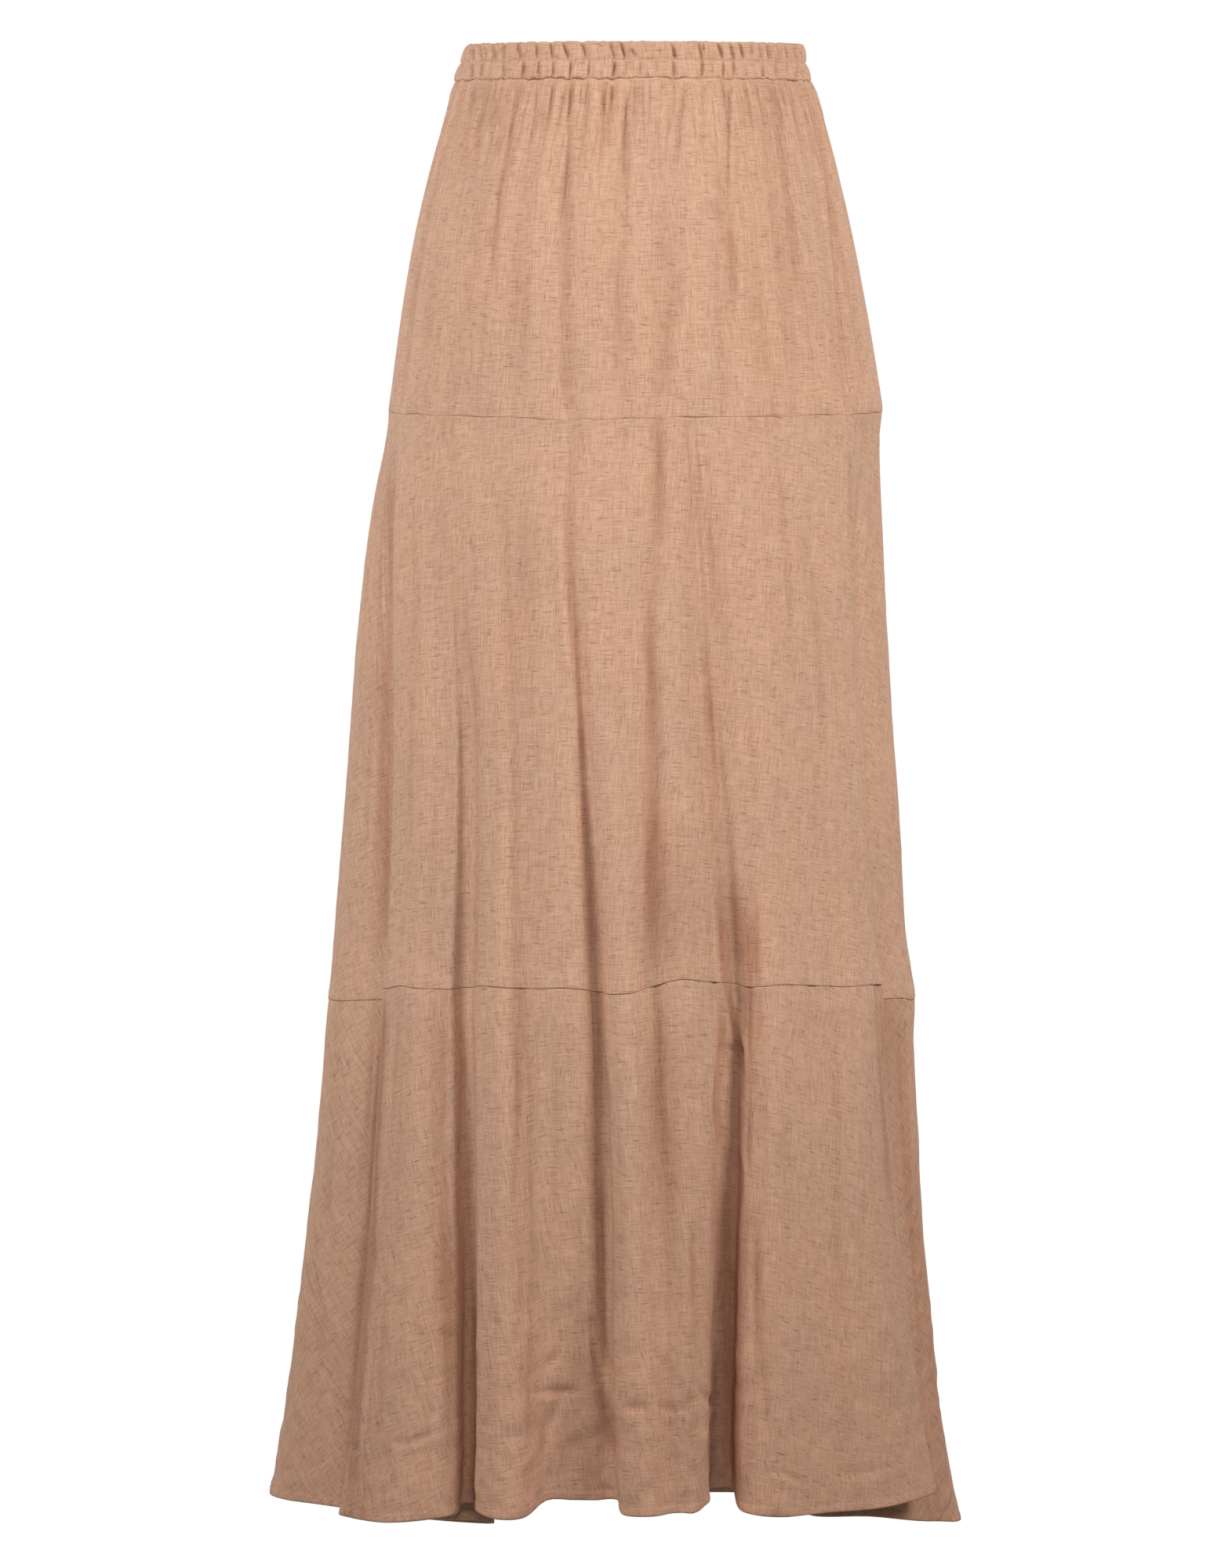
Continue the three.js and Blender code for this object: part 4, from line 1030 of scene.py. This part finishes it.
def shell(name, grid, inner, cut, tube, shade):
    """Closed thin wall of cloth: an outer grid, an inner one and rims that join them."""
    rows, columns = grid.shape[:2]
    across = columns if tube else columns - 1
    inner = inner[::STEP, ::STEP]
    points = np.concatenate([grid.reshape(-1, 3), inner.reshape(-1, 3)]) * MM
    faces, uvs, maps = [], [], []

    def number(i, j, deep):
        """Number of the outer point at a row and column, or of the inner point behind it."""
        if deep:
            return rows * columns + i // STEP * inner.shape[1] + j // STEP % inner.shape[1]
        return i * columns + j % columns

    def lay(corners, deep, strip):
        """Faces from their corners' rows and columns, which of them lie inside, and bake map places."""
        size = len(corners)
        faces.append(np.stack([number(*at, d) for at, d in zip(corners, deep)], axis=-1).reshape(-1, size))
        uvs.append(np.stack([cut[at] for at in corners], axis=-2).reshape(-1, size, 2))
        spots = [np.stack(np.broadcast_arrays(u, v), axis=-1) for u, v in strip]
        maps.append(np.stack(spots, axis=-2).reshape(-1, size, 2))

    def rim(corner_at, count, span, low, rise, forward):
        """Faces with three outer and two inner corners along one edge."""
        run = STEP * np.arange(count // STEP)
        runs = [run, run + 1, run + STEP, run + STEP, run]
        deep = [False, False, False, True, True]
        corners = [corner_at(at) for at in runs]
        strip = [(0.001 + 0.998 * at / span, low + rise * d) for at, d in zip(runs, deep)]
        way = 1 if forward else -1
        lay(corners[::way], deep[::way], strip[::way])

    for deep, step, low in ((False, 1, 0.005), (True, STEP, 0.5)):
        r, c = step * np.arange((rows - 1) // step)[:, None], step * np.arange(across // step)[None, :]
        corners = [(r, c), (r + step, c), (r + step, c + step), (r, c + step)]
        if deep:
            corners = corners[:1] + corners[:0:-1]
        strip = [(0.001 + 0.998 * j / across, low + 0.47 * i / (rows - 1)) for i, j in corners]
        lay(corners, [deep] * 4, strip)
    rim(lambda at: (0 * at, at), across, across, 0.978, 0.004, True)
    rim(lambda at: (rows - 1 + 0 * at, at), across, across, 0.984, 0.004, False)
    if not tube:
        rim(lambda at: (at, 0 * at), rows - 1, rows, 0.990, 0.003, False)
        rim(lambda at: (at, columns - 1 + 0 * at), rows - 1, rows, 0.995, 0.003, True)

    sizes = np.concatenate([np.full(len(part), part.shape[1]) for part in faces])
    corners = np.concatenate([part.ravel() for part in faces])
    mesh = bpy.data.meshes.new(name)
    mesh.vertices.add(len(points))
    mesh.vertices.foreach_set("co", points.astype(np.float32).ravel())
    mesh.loops.add(len(corners))
    mesh.loops.foreach_set("vertex_index", corners.astype(np.int32))
    mesh.polygons.add(len(sizes))
    mesh.polygons.foreach_set("loop_start", (np.cumsum(sizes) - sizes).astype(np.int32))
    mesh.polygons.foreach_set("use_smooth", np.ones(len(sizes), dtype=bool))
    for title, parts, scale in (("cut", uvs, MM), ("OFBake", maps, 1.0)):
        values = np.concatenate([part.reshape(-1, 2) for part in parts]) * scale
        mesh.uv_layers.new(name=title).uv.foreach_set("vector", values.astype(np.float32).ravel())
    crumple = np.clip(-points[:, 2] - CRUMPLE_FROM, 0, 1) * CRUMPLE_GROWTH + CRUMPLE_LEAST
    for title, values in (("shade", np.append(shade.ravel(), np.zeros(inner.shape[0] * inner.shape[1]))),
                          ("crumple", crumple)):
        mesh.attributes.new(title, "FLOAT", "POINT").data.foreach_set("value", values.astype(np.float32))
    mesh.update()
    mesh.validate()
    return add_piece(name, mesh, LINEN)


def stitches(name, line, normals, pitch, length, radius):
    """Row of thread stitches along a line of points, joined in one mesh."""
    run = np.concatenate([[0], np.cumsum(np.linalg.norm(np.diff(line, axis=0), axis=1))])
    offsets = np.array([0.0, 0.18, 0.5, 0.82, 1.0]) * length
    lift = np.array([-0.5, 0.35, 0.55, 0.35, -0.5])[:, None, None] * radius
    size = np.array([0.35, 0.9, 1.0, 0.9, 0.35])[:, None, None] * radius
    angle = (np.arange(STITCH_SIDES) * 2 * math.pi / STITCH_SIDES)[None, :, None]
    points, faces = [], []
    for start in np.arange(pitch / 2, run[-1] - pitch, pitch):
        p, n = (np.stack([np.interp(start + offsets, run, values[:, i]) for i in range(3)], axis=-1)
                for values in (line, normals))
        n = unit(n)
        b = np.cross(unit(np.gradient(p, axis=0)), n)
        p, n, b = p[:, None], n[:, None], b[:, None]
        first = sum(map(len, points))
        points.append((p + n * lift + size * (np.cos(angle) * n + np.sin(angle) * b)).reshape(-1, 3))
        last = first + (len(offsets) - 1) * STITCH_SIDES
        for ring in range(first, last, STITCH_SIDES):
            for j in range(STITCH_SIDES):
                k = (j + 1) % STITCH_SIDES
                faces.append((ring + j, ring + STITCH_SIDES + j, ring + STITCH_SIDES + k, ring + k))
        faces.append(tuple(range(first, first + STITCH_SIDES)))
        faces.append(tuple(reversed(range(last, last + STITCH_SIDES))))
    mesh = bpy.data.meshes.new(name)
    mesh.from_pydata((np.concatenate(points) * MM).tolist(), [], faces)
    mesh.update()
    for polygon in mesh.polygons:
        polygon.use_smooth = True
    return add_piece(name, mesh, THREAD)


def tapered(grid, first, last, down):
    """Flat cut of a gathered panel: as wide as its lower seam, and a little less at the top."""
    arc = arc_round(grid)[:, first:last + 1]
    arc = arc - arc[:, :1]
    bottom = arc[-1, -1]
    wide = bottom * (TIER1_TOP_SHARE + (1 - TIER1_TOP_SHARE) * down / down[-1])
    share = arc / arc[:, -1:] - 0.5
    flat = np.stack([share * wide[:, None], -down[:, None] + 0 * share], axis=-1)
    return flat, (bottom, down[-1]), wide.mean() * down[-1]


def sector(grid, first, last, down):
    """Flat cut of a flared panel: grain straight at its middle, arcs as long as on the body."""
    arc = arc_round(grid)[:, first:last + 1]
    arc = arc - (arc[:, :1] + arc[:, -1:]) / 2
    half = arc[:, -1]
    growth = max((half[-1] - half[0]) / (down[-1] - down[0]), 1e-4)
    radius = (half[0] / growth + down - down[0])[:, None]
    flat = np.stack([radius * np.sin(arc / radius), -radius * np.cos(arc / radius)], axis=-1)
    size = flat.reshape(-1, 2).max(axis=0) - flat.reshape(-1, 2).min(axis=0)
    return flat, size, ((half[1:] + half[:-1]) * np.diff(down)).sum()


def panel(node, tier, first, last, cut, thick, curl):
    """One sewn panel of a tier: its columns, curled in along the seams."""
    grid, normals, out, shade, down = tier
    flat, size, area = cut(grid, first, last, down)
    columns = np.arange(first, last + 1) % grid.shape[1]
    part, n = grid[:, columns].copy(), normals[:, columns]
    across = unit(np.gradient(part, axis=1))
    part[:, 0] += across[:, 0] * SIDE_GAP / 2
    part[:, -1] -= across[:, -1] * SIDE_GAP / 2
    sides = end_curl(len(columns), SIDE_CURL, CURL_SHARES[:2])
    part -= n * np.maximum(sides[None, :, None], curl[:, None, None])
    sunk = (out - lowest(out))[:, columns]
    inner = part - n * (thick[:, None] + sunk)[..., None]
    piece = shell(f"{node}_cloth", part, inner, flat, False, np.clip(shade[:, columns], 0, 1))
    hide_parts(node)


def waistband():
    """Band with its two channels and the stitch line between them."""
    grid, out = band_grid()
    normals = level_normals(grid)
    middle = np.append(np.arange(grid.shape[1]), 0)
    row = BAND_ROWS // 2
    line = stitches("waist_stitches", grid[row, middle], normals[row, middle], *WAIST_STITCH)
    curl = np.zeros(BAND_ROWS)
    curl[[0, 1, -2, -1]] = BAND_CURL
    outer = grid - normals * curl[:, None, None]
    inner = outer - normals * BAND_THICK
    inner[-1, :, 2] -= BAND_INNER_LIP
    round_top = arc_round(grid)[:1]
    down = np.linspace(0, BAND_HEIGHT, BAND_ROWS)[:, None]
    flat = np.stack([round_top + 0 * down, 0 * round_top - down], axis=-1)
    # Painted shade, darker in the grooves
    shade = ramp(-out, -BAND_SHADE_FROM, BAND_SHADE_SPAN)
    piece = shell("waistband_cloth", outer, inner, flat, True, shade)
    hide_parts("waistband")


def hip_tier():
    tier = tier1_grid()
    rows = len(tier[0])
    curl, thick = end_curl(rows, SEAM_CURL), np.full(rows, WALL)
    panel("tier1_front", tier, 0, TIER1_FRONT, tapered, thick, curl)
    panel("tier1_back", tier, TIER1_FRONT, TIER1_FRONT + TIER1_BACK, tapered, thick, curl)


def flared_tiers():
    tier2, tier3 = tier2_grid(), tier3_grid()
    rows2, rows3 = len(tier2[0]), len(tier3[0])
    curl2, thick2 = end_curl(rows2, SEAM_CURL), np.full(rows2, WALL)
    curl3, thick3 = end_curl(rows3, SEAM_CURL), np.full(rows3, WALL)
    curl3[-len(CURL_SHARES):] = 0
    curl3[-len(HEM_CURL):] = HEM_CURL
    thick3[-len(HEM_THICKNESS):] = HEM_THICKNESS
    for side, first, last in (("front", 0, FOLD_SIDE), ("back", FOLD_SIDE, FOLD_COLUMNS)):
        panel(f"tier2_{side}", tier2, first, last, sector, thick2, curl2)
        columns = np.arange(first + 1, last)
        hem = stitches(f"hem_stitches_{side}", tier3[0][HEM_STITCH_ROW, columns],
                       tier3[1][HEM_STITCH_ROW, columns], *HEM_STITCH)
        panel(f"tier3_{side}", tier3, first, last, sector, thick3, curl3)


def studio():
    """Pale floor far below the hem and a white background, with the light that both give."""
    mesh = bpy.data.meshes.new("studio_floor")
    turn = np.linspace(0, 2 * math.pi, FLOOR_CORNERS, endpoint=False)
    corners = [(FLOOR_RADIUS * math.cos(a), FLOOR_RADIUS * math.sin(a), FLOOR_HEIGHT) for a in turn]
    mesh.from_pydata(corners, [], [tuple(range(FLOOR_CORNERS))])
    floor = bpy.data.objects.new("studio_floor", mesh)
    bpy.context.scene.collection.objects.link(floor)
    pale = Nodes(bpy.data.materials.new("pale_floor"))
    lit = pale.add("ShaderNodeBsdfPrincipled", {"Base Color": (0.25, 0.25, 0.25, 1), "Roughness": 0.9})
    pale.white_to_camera(lit, "ShaderNodeEmission", "ShaderNodeOutputMaterial")
    mesh.materials.append(pale.owner)

    world = Nodes(bpy.data.worlds.new("studio"))
    lit = world.add("ShaderNodeBackground", {"Color": (1, 0.99, 0.98, 1), "Strength": 0.14})
    world.white_to_camera(lit, "ShaderNodeBackground", "ShaderNodeOutputWorld")
    bpy.context.scene.world = world.owner


def area_light(name, place_at, aim, width, power, colour):
    data = bpy.data.lights.new(name, "AREA")
    data.shape = "RECTANGLE"
    data.size = data.size_y = width
    data.energy = power
    data.color = colour
    lamp = bpy.data.objects.new(name, data)
    bpy.context.scene.collection.objects.link(lamp)
    lamp.location = place_at
    way = Vector([a - b for a, b in zip(aim, place_at)])
    lamp.rotation_euler = way.to_track_quat("-Z", "Y").to_euler()


def photographed_view():
    data = bpy.data.cameras.new("camera")
    data.lens = LENS
    data.sensor_fit = "VERTICAL"
    data.sensor_width = SENSOR
    data.sensor_height = SENSOR
    camera = bpy.data.objects.new("camera", data)
    bpy.context.scene.collection.objects.link(camera)
    camera.location = tuple(EYE * MM)
    camera.rotation_euler = (math.radians(90), 0, 0)
    bpy.context.scene.camera = camera
    bpy.context.scene.view_settings.view_transform = "Standard"


waistband()
hip_tier()
flared_tiers()
studio()
for light in LIGHTS:
    area_light(*light)
photographed_view()
